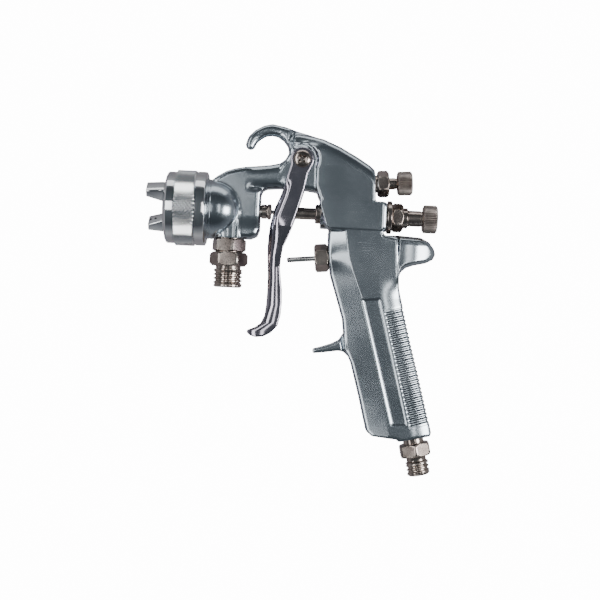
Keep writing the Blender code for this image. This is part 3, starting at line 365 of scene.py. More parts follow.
def metal(name, tones, edge_colour, roughness, grain_scale, grain_depth, scratch,
          drift=45.0, painted_shade=0.6, edge=0.6):
    """A plated or cast metal. roughness is its lowest and highest value over the surface."""
    material = bpy.data.materials.new(name)
    material.use_nodes = True
    tree = material.node_tree
    shader = tree.nodes["Principled BSDF"]
    shader.inputs["Metallic"].default_value = 1.0
    tone, wander = colour_drift(tree, tones[0], tones[1], drift)
    edge_node = tree.nodes.new("ShaderNodeGroup")
    edge_node.node_tree = edges
    edge_node.inputs["Edge Colour"].default_value = (*edge_colour, 1)
    # The shade painted into hollows is a darker copy of the metal's own first tone.
    edge_node.inputs["Painted Shade Colour"].default_value = (*[0.25 * value for value in tones[0]], 1)
    edge_node.inputs["Edge"].default_value = edge
    edge_node.inputs["Painted Shade"].default_value = painted_shade
    tree.links.new(tone, edge_node.inputs["Colour"])
    tree.links.new(edge_node.outputs["Colour"], shader.inputs["Base Color"])
    grain_node = tree.nodes.new("ShaderNodeGroup")
    grain_node.node_tree = grain
    grain_node.inputs["Scale"].default_value = grain_scale
    grain_node.inputs["Depth"].default_value = grain_depth
    tree.links.new(grain_node.outputs["Normal"], shader.inputs["Normal"])
    scratch_node = tree.nodes.new("ShaderNodeGroup")
    scratch_node.node_tree = scratches
    scratch_node.inputs["Amount"].default_value = scratch
    low, high = roughness
    worn = maths(tree, "MULTIPLY", grain_node.outputs["Height"], high - low)
    uneven = maths(tree, "ADD", maths(tree, "ADD", worn, low), maths(tree, "MULTIPLY", wander, 0.06))
    rubbed_and_highlit = maths(tree, "ADD", uneven, maths(tree, "MULTIPLY", scratch_node.outputs["Mask"], 0.16))
    dulled = maths(tree, "ADD", rubbed_and_highlit, maths(tree, "MULTIPLY", edge_node.outputs["Painted Shade Mask"], 0.2), True)
    tree.links.new(dulled, shader.inputs["Roughness"])
    return material


# %% The finishes of this gun
# The colour after each metal's pair of tones is the highlight painted on its edges.
CAST = metal("cast_aluminium", ((0.40, 0.45, 0.49), (0.50, 0.55, 0.59)), (0.82, 0.85, 0.87),
             (0.15, 0.22), 900.0, 0.010, 0.5, painted_shade=0.25, edge=0.25)
CHROME = metal("chrome", ((0.74, 0.76, 0.78), (0.82, 0.83, 0.84)), (0.95, 0.95, 0.95),
               (0.04, 0.10), 1400.0, 0.005, 0.3)
TRIGGER_CHROME = metal("trigger_chrome", ((0.38, 0.36, 0.41), (0.52, 0.48, 0.55)), (0.80, 0.78, 0.84),
                       (0.07, 0.14), 1200.0, 0.008, 0.4, edge=0.3)
NICKEL = metal("warm_nickel", ((0.36, 0.30, 0.27), (0.54, 0.47, 0.42)), (0.85, 0.80, 0.74),
               (0.12, 0.22), 1500.0, 0.010, 0.5, drift=120.0)
# The knobs' nickel is a darker copy of the plain nickel, which is painted shade for their ribs. It is also
# rougher.
KNURLED_SHADED = metal("warm_nickel_knurled_shaded", ((0.30, 0.26, 0.24), (0.42, 0.37, 0.34)), (0.62, 0.57, 0.52),
                (0.30, 0.40), 1500.0, 0.015, 0.3, drift=120.0)
STEEL = metal("stainless_steel", ((0.52, 0.52, 0.51), (0.62, 0.62, 0.61)), (0.85, 0.85, 0.85),
              (0.13, 0.24), 1500.0, 0.010, 0.4)
print("metals:", [m.name for m in (CAST, CHROME, TRIGGER_CHROME, NICKEL, KNURLED_SHADED, STEEL)])

# %% [markdown]
# ## Seals
#
# The packings and washers are white fluoropolymer: waxy, matt and faintly mottled. It is not a metal, so
# it gets its own small recipe with a little light going into it.

# %% White seal
SEAL = bpy.data.materials.new("white_seal")
SEAL.use_nodes = True
seal_tree = SEAL.node_tree
seal_shader = seal_tree.nodes["Principled BSDF"]
seal_tone, seal_wander = colour_drift(seal_tree, (0.70, 0.69, 0.65), (0.85, 0.85, 0.82), 300.0)
seal_tree.links.new(seal_tone, seal_shader.inputs["Base Color"])
seal_tree.links.new(maths(seal_tree, "ADD", maths(seal_tree, "MULTIPLY", seal_wander, 0.2), 0.4),
                    seal_shader.inputs["Roughness"])
seal_grain = seal_tree.nodes.new("ShaderNodeGroup")
seal_grain.node_tree = grain
seal_grain.inputs["Scale"].default_value = 2500.0
seal_grain.inputs["Depth"].default_value = 0.08
seal_tree.links.new(seal_grain.outputs["Normal"], seal_shader.inputs["Normal"])
seal_shader.inputs["Subsurface Weight"].default_value = 0.1
FINISHES = {"cast_aluminium": CAST, "chrome": CHROME, "trigger_chrome": TRIGGER_CHROME,
            "warm_nickel": NICKEL, "stainless_steel": STEEL, "white_seal": SEAL}

# %% Give every working node its finish
slot_of = {part["node"]: part["material_slot"] for part in record["subparts"]}
for node_name, node_object in frame["nodes"].items():
    node_object.data.materials.clear()
    node_object.data.materials.append(FINISHES[slot_of[node_name]])
print("nodes finished:", len(slot_of))

# %% [markdown]
# ## Turned pieces
#
# Knobs, nuts, nipples and the ring are all turned on a lathe, so one tool makes them all. It takes
# stations along the axis, and at each station a rule that gives the radius at an angle. A plain number
# is a round section. A hexagon, a knurl or a thread is a rule that depends on the angle, so the same
# grid of points carries them all, and a thread is a true helix.

# %% The lathe
SIDES = 96
CREASE = 34                     # a turn sharper than this many degrees stays a hard edge


def axis_frame(base, toward):
    """A matrix whose Z runs along toward from base."""
    turn = Vector(toward).to_track_quat("Z", "Y").to_matrix().to_4x4()
    return Matrix.Translation(Vector(base)) @ turn


def lathe_mesh(name, stations, sides=SIDES):
    """A closed mesh from one loop of (distance, radius or rule) stations, in millimetres."""
    angles = np.arange(sides) * math.tau / sides
    bm = bmesh.new()
    rings = []
    for distance, rule in stations:
        if not callable(rule) and rule == 0:
            rings.append([bm.verts.new((0, 0, distance * MM))])
            continue
        ring = []
        for angle in angles:
            radius = rule(angle) if callable(rule) else rule
            place = (radius * math.cos(angle) * MM, radius * math.sin(angle) * MM, distance * MM)
            ring.append(bm.verts.new(place))
        rings.append(ring)
    for first, second in zip(rings, rings[1:] + rings[:1]):
        if len(first) == 1 and len(second) == 1:
            continue
        for step in range(sides):
            after = (step + 1) % sides
            corners = [first[step % len(first)], first[after % len(first)]]
            corners += [second[after % len(second)], second[step % len(second)]]
            bm.faces.new(list(dict.fromkeys(corners)))
    bmesh.ops.recalc_face_normals(bm, faces=bm.faces)
    mesh = bpy.data.meshes.new(name)
    bm.to_mesh(mesh)
    bm.free()
    mesh.shade_smooth()
    mesh.set_sharp_from_angle(angle=math.radians(CREASE))
    return mesh


def soften(piece, width, segments=2, angle=CREASE):
    """Rounds a piece's hard edges a little, so that each one catches the light."""
    bevel = piece.modifiers.new("edge_rounding", "BEVEL")
    bevel.width = width * MM
    bevel.segments = segments
    bevel.limit_method = "ANGLE"
    bevel.angle_limit = math.radians(angle)
    return piece


def hang(piece, node, material=None):
    """Puts a finished piece in the place of a working node, on its body and in its finish."""
    piece.data.materials.clear()
    piece.data.materials.append(material or FINISHES[slot_of[node]])
    body = next(name for name, nodes in record["behaviour"]["bodies"].items() if node in nodes)
    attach(piece, body)
    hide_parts(node)
    return piece


def lathe(node, stations, base, toward, sides=SIDES, rounding=0.12, twist=0.0, material=None):
    """Turns a piece and hangs it in the place of the working node of the same name."""
    piece = bpy.data.objects.new(node + "_piece", lathe_mesh(node, stations, sides))
    bpy.context.scene.collection.objects.link(piece)
    piece.matrix_world = axis_frame(base, toward) @ Matrix.Rotation(math.radians(twist), 4, "Z")
    if rounding:
        soften(piece, rounding)
    return hang(piece, node, material)


# %% Rules for hexagons, threads and knurls


def hexagon(start, end, flats, chamfer=None, steps=5):
    """Stations of a nut's body, with both ends turned off at 30 degrees as real nuts are."""
    corner = flats / math.sqrt(3)
    chamfer = chamfer or (corner - flats / 2) * math.tan(math.radians(30))
    stations = []

    def rule_at(limit):
        def rule(angle):
            from_flat = math.radians((math.degrees(angle) % 60.0) - 30.0)
            return min(flats / 2 / math.cos(from_flat), limit)
        return rule

    lowest = flats / 2 - 0.15
    for step in range(steps + 1):
        share = step / steps
        stations.append((start + chamfer * share, rule_at(lowest + (corner - lowest) * share)))
    for step in range(steps + 1):
        share = 1 - step / steps
        stations.append((end - chamfer * share, rule_at(lowest + (corner - lowest) * share)))
    return stations


FLANK_STEEPNESS = 2.2
ROOT_WIDTH = 0.7


def thread(start, end, radius, depth, pitch, per_turn=16):
    """Stations of a thread with flat crests and roots, which fades in and out at its ends."""
    count = round((end - start) / pitch * per_turn)
    stations = []

    def rule_at(distance):
        fade = min((distance - start) / pitch, (end - distance) / pitch, 1.0)

        def rule(angle):
            phase = (distance / pitch - angle / math.tau) % 1.0
            crest = min(max(FLANK_STEEPNESS * abs(2 * phase - 1) - ROOT_WIDTH, 0.0), 1.0)
            return radius - depth * fade * (1 - crest)
        return rule

    for step in range(count + 1):
        distance = start + (end - start) * step / count
        stations.append((distance, rule_at(distance)))
    return stations


TIP_CUT = 0.75


def diamond_knurl(start, end, radius, depth, around, rows):
    """Stations of a knurl cut both ways, which leaves rows of small pyramids with flat tips."""
    steps = rows * 10
    stations = []

    def rule_at(distance):
        along = (distance - start) / (end - start) * rows

        def rule(angle):
            turnwise = angle / math.tau * around
            one = abs(((turnwise + along) % 1.0) * 2 - 1)
            two = abs(((turnwise - along) % 1.0) * 2 - 1)
            return radius - depth * (1 - min(one, two, TIP_CUT) / TIP_CUT)
        return rule

    for step in range(steps + 1):
        distance = start + (end - start) * step / steps
        stations.append((distance, rule_at(distance)))
    return stations


def straight_knurl(start, end, radius, depth, around):
    """Stations of the fine lengthwise ribs on a finger knob."""

    def rule(angle):
        wave = abs(((angle / math.tau * around) % 1.0) * 2 - 1)
        return radius - depth * wave

    return [(start, rule), (end, rule)]


print("lathe rules ready")

# %% [markdown]
# ## Retaining ring
#
# The ring screws onto the head and holds the cap. It has a plain band at each side and a diamond knurl
# between them for the fingers. The knurl could be a bump map, but it would look flat at the ring's
# outline, so its pyramids are real.

# %% Turn the ring
FORWARD = Vector((-1, 0, 0))
REARWARD = Vector((1, 0, 0))
DOWN = Vector((0, 0, -1))
ring_low, ring_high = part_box("retaining_ring")
cap_low, cap_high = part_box("air_cap")
SPRAY_Z = (ring_low.z + ring_high.z) / 2
ring_outer = (ring_high.z - ring_low.z) / 2 / MM
RING_LENGTH = (ring_high.x - ring_low.x) / MM
on_axis = Vector((ring_high.x, 0, SPRAY_Z))
CAP_BARREL_RADIUS = 16.0
LIP_RADIUS = CAP_BARREL_RADIUS + 0.4
RING_BORE = 17.3
CLIP_GROOVE = 18.7
KNURL_AROUND = 62
KNURL_ROWS = 5
RING_SIDES = KNURL_AROUND * 8
ring = [(0, 17.9), (0, ring_outer - 1.5), (0.4, ring_outer - 0.8), (0.9, ring_outer - 0.5)]
ring += [(5.7, ring_outer - 0.5), (6.1, ring_outer - 0.9), (6.5, ring_outer - 0.5)]
ring += diamond_knurl(6.9, 17.4, ring_outer, 0.7, KNURL_AROUND, KNURL_ROWS)
ring += [(17.8, ring_outer - 0.6), (18.2, ring_outer - 1.5), (18.6, ring_outer - 1.2)]
ring += [(22.3, ring_outer - 1.2), (23.0, ring_outer - 1.7), (RING_LENGTH - 0.15, ring_outer - 3.0)]
ring += [(RING_LENGTH, ring_outer - 3.6), (RING_LENGTH, LIP_RADIUS + 0.5), (RING_LENGTH - 0.5, LIP_RADIUS)]
ring += [(19.0, LIP_RADIUS), (19.0, RING_BORE), (16.9, RING_BORE), (16.9, CLIP_GROOVE)]
ring += [(15.1, CLIP_GROOVE), (15.1, RING_BORE), (2.6, RING_BORE), (2.6, 17.9)]
lathe("retaining_ring", ring, on_axis, FORWARD, RING_SIDES, rounding=0)
print("ring outside diameter:", round(2 * ring_outer, 1), "mm")

# %% [markdown]
# ## Air cap
#
# The cap is a cup with a hole for the nozzle and two horns that blow on the spray from its sides. Its
# face carries small holes that keep paint off it. The horns stand on the cup, so they are united with
# it by a Boolean, and the holes are drilled the same way, which keeps the meeting lines clean.

# %% Tools for drilled and joined shapes


def helper(name, mesh):
    """A shape that only cuts or joins."""
    shape = bpy.data.objects.new(name, mesh)
    bpy.context.scene.collection.objects.link(shape)
    return shape


def apply_all(piece):
    """Turns a piece's modifiers into its mesh."""
    bpy.context.view_layer.update()
    graph = bpy.context.evaluated_depsgraph_get()
    mesh = bpy.data.meshes.new_from_object(piece.evaluated_get(graph))
    piece.modifiers.clear()
    old = piece.data
    piece.data = mesh
    bpy.data.meshes.remove(old)
    return piece


def join_or_cut(piece, shapes, operation):
    """Runs one Boolean for each shape, then throws the shapes away."""
    for shape in shapes:
        modifier = piece.modifiers.new(shape.name, "BOOLEAN")
        modifier.object = shape
        modifier.operation = operation
        modifier.solver = "EXACT"
    apply_all(piece)
    for shape in shapes:
        bpy.data.objects.remove(shape)
    return piece


def drill(name, start, end, radius, base, toward, sides=16):
    """A round cutter along an axis."""
    stations = [(start, 0), (start, radius), (end, radius), (end, 0)]
    tool = helper(name, lathe_mesh(name, stations, sides))
    tool.matrix_world = axis_frame(base, toward)
    return tool


# %% Make the cap
cap_tip = -cap_low.x / MM
FLANGE_BACK = -cap_high.x / MM
HORN_LENGTH = 10.0
HORN_HALF = 4.2
CAP_FACE = cap_tip - HORN_LENGTH
CAP_TURN = math.radians(42.0)
axis_base = Vector((0, 0, SPRAY_Z))
cup = [(FLANGE_BACK, 13.8), (FLANGE_BACK, 17.0), (FLANGE_BACK + 1.8, 17.0)]
cup += [(FLANGE_BACK + 1.8, CAP_BARREL_RADIUS), (CAP_FACE - 1.6, CAP_BARREL_RADIUS)]
cup += [(CAP_FACE - 0.7, CAP_BARREL_RADIUS - 0.35), (CAP_FACE, CAP_BARREL_RADIUS - 1.5)]
cup += [(CAP_FACE, 5.6), (CAP_FACE + 0.7, 4.4), (CAP_FACE + 0.7, 2.3), (CAP_FACE + 0.3, 1.9)]
cup += [(CAP_FACE - 2.6, 1.9), (CAP_FACE - 2.6, 13.8)]
cap = bpy.data.objects.new("air_cap_piece", lathe_mesh("air_cap", cup))
bpy.context.scene.collection.objects.link(cap)
cap.matrix_world = axis_frame(axis_base, FORWARD)


def horn_mesh():
    """A horn in its own frame: X out from the axis, Y across, Z forward."""
    outline = [(6.6, CAP_FACE - 0.8), (15.5, CAP_FACE - 0.8), (15.5, CAP_FACE + 1.2), (14.7, cap_tip - 0.4)]
    outline += [(14.2, cap_tip), (10.4, cap_tip), (9.9, cap_tip - 0.5), (7.6, CAP_FACE + 2.6)]
    bm = bmesh.new()
    near, far = [
        [bm.verts.new((x * MM, side * HORN_HALF * MM, z * MM)) for x, z in outline] for side in (-1, 1)
    ]
    bm.faces.new(near)
    bm.faces.new(far)
    for step in range(len(outline)):
        after = (step + 1) % len(outline)
        bm.faces.new((near[step], near[after], far[after], far[step]))
    bmesh.ops.recalc_face_normals(bm, faces=bm.faces)
    mesh = bpy.data.meshes.new("horn")
    bm.to_mesh(mesh)
    bm.free()
    return mesh


def around_cap(angle):
    """The frame at the spray axis with X pointing at this angle from upright, towards the camera's side."""
    out = Vector((0, -math.sin(angle), math.cos(angle)))
    side = FORWARD.cross(out)
    return Matrix.Translation(axis_base) @ Matrix((out, side, FORWARD)).transposed().to_4x4()


horns = []
for number in range(2):
    horn = helper(f"horn_{number}", horn_mesh())
    soften(horn, 0.8, 3, 50)
    horn.matrix_world = around_cap(CAP_TURN + math.pi * number)
    horns.append(horn)
join_or_cut(cap, horns, "UNION")
holes = []
for number in range(2):
    out = around_cap(CAP_TURN + math.pi * number)
    for share in (0.45, 0.78):
        place = out @ Vector((12.0 * MM, 0, (CAP_FACE + HORN_LENGTH * share) * MM))
        inward = out.to_3x3() @ Vector((-1, 0, 0.35))
        holes.append(drill(f"horn_hole_{number}_{share}", -0.5, 6, 0.75, place, inward))
for step in range(4):
    out = around_cap(CAP_TURN + math.pi / 2 * step + math.radians(45))
    place = out @ Vector((7.4 * MM, 0, CAP_FACE * MM))
    holes.append(drill(f"face_hole_{step}", -5, 3, 0.55, place, FORWARD))
join_or_cut(cap, holes, "DIFFERENCE")
cap.data.shade_smooth()
cap.data.set_sharp_from_angle(angle=math.radians(CREASE))
soften(cap, 0.1, 2, 40)
hang(cap, "air_cap")
print("cap: horns", len(horns), "holes", len(holes))

# %% [markdown]
# ## Fluid nipple and its locknut
#
# Paint comes in here from a hose. The nipple has a hexagon for the spanner and a coarse straight thread
# for the hose's nut, and the locknut above it keeps it from turning.

# %% Turn the fluid fittings
locknut_low, locknut_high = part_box("fluid_inlet_locknut")
nipple_low, nipple_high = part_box("fluid_inlet_nipple")
inlet_x = (nipple_low.x + nipple_high.x) / 2
inlet_base = Vector((inlet_x, 0, locknut_high.z))
LOCKNUT_FLATS = 17.6
FLUID_HEX_FLATS = 19.4
FLUID_THREAD_RADIUS = 8.33
THREAD_PITCH = 2.3
nut_length = (locknut_high.z - locknut_low.z) / MM
nut = [(0, 7.9), (0, LOCKNUT_FLATS / 2 - 0.3)] + hexagon(0.1, nut_length - 0.1, LOCKNUT_FLATS)
nut += [(nut_length, LOCKNUT_FLATS / 2 - 0.3), (nut_length, 7.9)]
lathe("fluid_inlet_locknut", nut, inlet_base, DOWN, twist=12)
hex_start = nut_length + 0.3
hex_end = hex_start + 8.2
end = (inlet_base.z - nipple_low.z) / MM
nipple = [(-9.0, 4.5), (-9.0, 7.6), (hex_start, 7.6), (hex_start, FLUID_HEX_FLATS / 2 - 0.8)]
nipple += hexagon(hex_start + 0.1, hex_end - 0.1, FLUID_HEX_FLATS, 1.5)
nipple += [(hex_end, FLUID_HEX_FLATS / 2 - 0.8), (hex_end, 7.4), (hex_end + 1.5, 7.2), (hex_end + 1.9, 8.0)]
nipple += thread(hex_end + 1.9, end - 0.8, FLUID_THREAD_RADIUS, 1.0, THREAD_PITCH)
nipple += [(end, 7.1), (end, 4.9), (end - 0.4, 4.5)]
lathe("fluid_inlet_nipple", nipple, inlet_base, DOWN, rounding=0.0)
print("fluid thread:", 2 * FLUID_THREAD_RADIUS, "mm outside")

# %% [markdown]
# ## Air nipple
#
# Compressed air comes up the handle through this nipple. It leans with the handle's end, so its axis is
# read from the mount on its end face.

# %% Turn the air nipple
air_mount = mounts["air_inlet_face"]
air_axis = Vector(air_mount["axis"]).normalized()
air_end_centre = Vector((air_mount["pos_m"][0], 0, air_mount["pos_m"][2]))
AIR_REACH = 21.6
air_base = air_end_centre - air_axis * AIR_REACH * MM
AIR_HEX_FLATS = 17.0
nipple = [(-10.6, 3.6), (-10.6, 6.0), (2.8, 6.0), (2.8, AIR_HEX_FLATS / 2 - 0.4)]
nipple += hexagon(2.9, 10.5, AIR_HEX_FLATS, 1.4)
nipple += [(10.6, AIR_HEX_FLATS / 2 - 0.4), (10.6, 6.1), (11.4, 5.7), (13.0, 5.7), (13.6, 6.2)]
nipple += thread(13.7, AIR_REACH - 0.9, 6.65, 0.9, THREAD_PITCH)
nipple += [(AIR_REACH, 5.5), (AIR_REACH, 3.9), (AIR_REACH - 0.3, 3.6)]
lathe("air_inlet_nipple", nipple, air_base, air_axis, rounding=0.0)

# %% [markdown]
# ## Control knobs and their housings
#
# The lower knob sets how far the needle can draw back, and the upper one shares air between the horns
# and the face of the cap. Both have a finely ribbed rim, a hexagon housing screwed into the casting and
# a plain stem between them.

# %% Turn the fluid control
knob_low, knob_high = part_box("fluid_knob")
housing_low, housing_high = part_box("fluid_control_housing")
screw_low, screw_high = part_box("fluid_screw")
KNOB_RIBS = 46
KNOB_SIDES = KNOB_RIBS * 8


def knob_stations(start, finish, radius):
    """A ribbed rim between two chamfers, a shallow dish in its face and a blind hole behind."""
    stations = [(start, 2.8), (start, radius - 1.1), (start + 0.35, radius - 0.55)]
    stations += straight_knurl(start + 0.8, finish - 1.1, radius, 0.5, KNOB_RIBS)
    stations += [(finish - 0.55, radius - 0.45), (finish - 0.15, radius - 1.0), (finish, radius - 1.8)]
    stations += [(finish, radius * 0.55), (finish - 0.3, radius * 0.45), (finish - 0.3, 0)]
    stations += [(finish - 2.4, 0), (finish - 2.4, 2.8)]
    return stations


knob_radius = (knob_high.z - knob_low.z) / 2 / MM
stations = knob_stations(knob_low.x / MM, knob_high.x / MM, knob_radius)
lathe("fluid_knob", stations, axis_base, REARWARD, KNOB_SIDES, rounding=0, material=KNURLED_SHADED)
seat = housing_high.x / MM - 12.0
flange = (housing_high.z - housing_low.z) / 2 / MM
FLUID_STEM_RADIUS = 4.65
SPIGOT_RADIUS = 2.5
bore = FLUID_STEM_RADIUS + 0.3
start = housing_low.x / MM
housing = [(start, bore), (start, 6.6), (seat, 6.6), (seat, flange - 0.3), (seat + 0.3, flange)]
housing += [(seat + 2.2, flange), (seat + 2.7, flange - 0.5)]
housing += hexagon(seat + 2.8, seat + 9.2, 14.6, 1.1)
housing += [(seat + 9.3, 6.9), (seat + 9.3, 5.9), (seat + 11.6, 5.9), (seat + 12.0, 5.5)]
housing += [(seat + 12.0, bore)]
lathe("fluid_control_housing", housing, axis_base, REARWARD, twist=30)
start, finish = screw_low.x / MM, screw_high.x / MM
face = knob_low.x / MM - 0.3
stem = [(start, 0), (start, 4.1), (start + 0.6, FLUID_STEM_RADIUS)]
stem += thread(start + 1.0, housing_high.x / MM - 1.5, FLUID_STEM_RADIUS, 0.4, 1.0)
stem += [(face - 1.1, FLUID_STEM_RADIUS), (face - 0.9, 4.35), (face - 0.3, 4.35), (face, 4.6)]
stem += [(face, SPIGOT_RADIUS), (finish, SPIGOT_RADIUS), (finish, 0)]
lathe("fluid_screw", stem, axis_base, REARWARD, 64, rounding=0)
print("fluid knob:", round(2 * knob_radius, 1), "mm across")

# %% Turn the fan control
fan_joint = joints["fan_knob_turn"]
fan_axis = Vector(fan_joint["axis"]).normalized()
FAN_KNOB_START = 12.9
fan_base = Vector(fan_joint["pos_m"]) - fan_axis * FAN_KNOB_START * MM
stations = knob_stations(FAN_KNOB_START, FAN_KNOB_START + 8.8, 7.0)
lathe("fan_knob", stations, fan_base, fan_axis, KNOB_SIDES, rounding=0, material=KNURLED_SHADED)
FAN_FLATS = 13.6
housing = [(-7.4, 3.7), (-7.4, 5.0), (1.2, 5.0), (1.2, FAN_FLATS / 2 - 0.2)]
housing += hexagon(1.3, 7.9, FAN_FLATS, 1.0)
housing += [(8.0, FAN_FLATS / 2 - 0.2), (8.0, 4.6), (8.3, 4.3), (8.3, 3.7)]
lathe("fan_valve_housing", housing, fan_base, fan_axis, twist=30)
FAN_STEM_RADIUS = 3.4
face = FAN_KNOB_START - 0.3
stem = [(-11.0, 0), (-7.0, 1.8), (-7.0, FAN_STEM_RADIUS)] + thread(-6.5, 7.5, FAN_STEM_RADIUS, 0.35, 1.0)
stem += [(face - 1.0, FAN_STEM_RADIUS), (face - 0.8, 3.1), (face - 0.2, 3.1), (face, FAN_STEM_RADIUS)]
stem += [(face, SPIGOT_RADIUS), (18.7, SPIGOT_RADIUS), (18.7, 0)]
lathe("fan_stem", stem, fan_base, fan_axis, 48, rounding=0)

# %% [markdown]
# ## Needle line
#
# The sleeve behind the trigger draws the needle back. The small nut at the front of the window squeezes
# the packing round the needle, and the bush at the barrel's front guides the sleeve.

# %% Turn the needle line
sleeve_low, sleeve_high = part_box("needle_sleeve")
packing_low, packing_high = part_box("packing_nut")
bush_low, bush_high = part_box("needle_guide_bush")
start, finish = sleeve_low.x / MM, sleeve_high.x / MM
sleeve = [(start, 1.5), (start, 3.0), (start + 0.5, 3.5), (start + 3.2, 3.5), (start + 3.4, 3.2)]
sleeve += [(start + 4.2, 3.2), (start + 4.4, 3.5), (finish, 3.5), (finish, 1.5)]
lathe("needle_sleeve", sleeve, axis_base, REARWARD, 48)
start, finish = packing_low.x / MM, packing_high.x / MM
PACKING_FLATS = 8.0
nut = [(start, 1.5), (start, 3.3), (start + 4.4, 3.3), (start + 4.4, 3.9), (start + 4.7, 4.2)]
nut += [(finish - 2.9, 4.2), (finish - 2.7, 3.7)]
nut += hexagon(finish - 2.5, finish - 0.1, PACKING_FLATS, 0.5, 3)
nut += [(finish, 3.2), (finish, 1.5)]
lathe("packing_nut", nut, axis_base, REARWARD, 72, rounding=0.08, twist=30)
start, finish = bush_low.x / MM, bush_high.x / MM
bush = [(start, 3.8), (start, 4.9), (start + 0.6, 5.6), (start + 3.1, 5.6), (start + 3.1, 4.7)]
bush += [(finish, 4.7), (finish, 3.8)]
lathe("needle_guide_bush", bush, axis_base, REARWARD, 64)

# %% [markdown]
# ## Air valve
#
# The trigger's back pushes the thin pin, which lifts a seal in the handle and lets air through. The
# hexagon is the head of the valve's cartridge. Its axis leans six degrees, which the joint records.

# %% Turn the air valve
valve_axis = Vector(joints["air_valve_lift"]["axis"]).normalized()
VALVE_PIN_REACH = 24.4
VALVE_BASE = Vector((0.0361, 0, -0.0689))    # where the valve's axis meets the handle's front
VALVE_FLATS = 14.4
valve = [(-8.3, 1.9), (-8.3, 6.4)] + hexagon(-8.2, -0.4, VALVE_FLATS, 0.9)
valve += [(-0.3, 6.7), (8, 6.7), (8, 3.6), (-1, 3.6), (-1, 1.9)]
lathe("air_valve_body", valve, VALVE_BASE, valve_axis, twist=30)
pin = [(-VALVE_PIN_REACH, 0), (-VALVE_PIN_REACH, 0.7), (-VALVE_PIN_REACH + 0.25, 1.2)]
pin += [(-VALVE_PIN_REACH + 0.8, 1.5), (13.4, 1.5), (13.4, 1.0), (19, 1.0), (19, 0)]
lathe("air_valve_stem", pin, VALVE_BASE, valve_axis, 32, rounding=0)

# %% [markdown]
# ## Trigger stud and screw
#
# The trigger swings on a stud through the neck. A cross-head screw holds it from the near side. The
# cross is cut by two crossed tapered blades, as the punch that forms a real screw's head does.

# %% Turn the stud and the screw
stud_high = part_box("trigger_stud")[1]
pivot = Vector(joints["trigger_pull"]["pos_m"])
SIDEWAYS = Vector((0, 1, 0))
outer = stud_high.y / MM - 2.0
head = [(outer + 2.0, 0), (outer + 1.95, 1.2), (outer + 1.8, 2.4), (outer + 1.5, 3.5), (outer + 1.05, 4.4)]
head += [(outer + 0.6, 4.9)]
head += [(outer + 0.15, 5.0), (outer, 4.85)]
stud = head + [(outer, 3.2), (-outer + 0.3, 3.2), (-outer + 0.3, 1.8)]
stud += [(-outer + 10, 1.8), (-outer + 10, 0)]
lathe("trigger_stud", stud, pivot, SIDEWAYS, 64, rounding=0.1)
screw = bpy.data.objects.new("trigger_screw_piece", lathe_mesh(
    "trigger_screw", head + [(outer, 1.5), (outer - 8.5, 1.5), (outer - 8.5, 0)], 64))
bpy.context.scene.collection.objects.link(screw)
screw.matrix_world = axis_frame(pivot, -SIDEWAYS)


def blade_mesh(long, thin, depth):
    """A tapered blade of the screw's cross, pointing down its own -Z."""
    bm = bmesh.new()
    corners = ((-1, -1), (1, -1), (1, 1), (-1, 1))
    top = [bm.verts.new((x * long * MM, y * thin * MM, 0.6 * MM)) for x, y in corners]
    tip = [bm.verts.new((x * long * 0.45 * MM, y * thin * 0.8 * MM, -depth * MM)) for x, y in corners]
    bm.faces.new(top)
    bm.faces.new(tip[::-1])
    for step in range(4):
        after = (step + 1) % 4
        bm.faces.new((top[step], tip[step], tip[after], top[after]))
    bmesh.ops.recalc_face_normals(bm, faces=bm.faces)
    mesh = bpy.data.meshes.new("blade")
    bm.to_mesh(mesh)
    bm.free()
    return mesh


blades = []
for step in range(2):
    blade = helper(f"blade_{step}", blade_mesh(3.1, 0.8, 1.6))
    place = pivot - SIDEWAYS * (outer + 2.0) * MM
    twist = Matrix.Rotation(math.radians(35 + 90 * step), 4, "Z")
    blade.matrix_world = axis_frame(place, -SIDEWAYS) @ twist
    blades.append(blade)
join_or_cut(screw, blades, "DIFFERENCE")
screw.data.shade_smooth()
screw.data.set_sharp_from_angle(angle=math.radians(CREASE))
soften(screw, 0.07, 2, 40)
hang(screw, "trigger_screw")
print("stud and screw ready")

# %% [markdown]
# ## From plain solid to casting
#
# The working model's body is flat plates with bevelled rims. A real casting has no hard corner
# anywhere. Remeshing the solid to small even cells and relaxing them rounds every inner and outer
# corner alike, and then each point is moved by simple rules. They give the handle its wedge section,
# the thumb rest its full width, the hook its round section, the block its round top and the head its
# ball. Sculpting by hand could do the same, but rules can be read and changed. The coordinates in these
# cells are in millimetres.

# %% Tools for casting


def remeshed(node, name, cell, relax):
    """A copy of a working node in small even cells, relaxed so that its corners round off."""
    piece = bpy.data.objects.new(name, frame["nodes"][node].data.copy())
    bpy.context.scene.collection.objects.link(piece)
    weld = piece.modifiers.new("weld", "WELD")
    weld.merge_threshold = 1e-6
    cells = piece.modifiers.new("cells", "REMESH")
    cells.mode = "VOXEL"
    cells.voxel_size = cell * MM
    smooth = piece.modifiers.new("relax", "SMOOTH")
    smooth.factor = 0.5
    smooth.iterations = relax
    return apply_all(piece)


def points_of(piece):
    """The piece's points as an array in millimetres."""
    points = np.empty(len(piece.data.vertices) * 3)
    piece.data.vertices.foreach_get("co", points)
    return points.reshape(-1, 3) / MM


def set_points(piece, points):
    """Puts the piece's points where the array says."""
    piece.data.vertices.foreach_set("co", (points * MM).ravel())
    piece.data.update()
    piece.data.shade_smooth()


def ease(value, low, high):
    """0 below low, 1 above high and a smooth step between them."""
    share = np.clip((value - low) / (high - low), 0, 1)
    return share * share * (3 - 2 * share)


def along(heights, values, z):
    """A value that goes with height through the given points, from the highest down."""
    return np.interp(-z, [-height for height in heights], values)


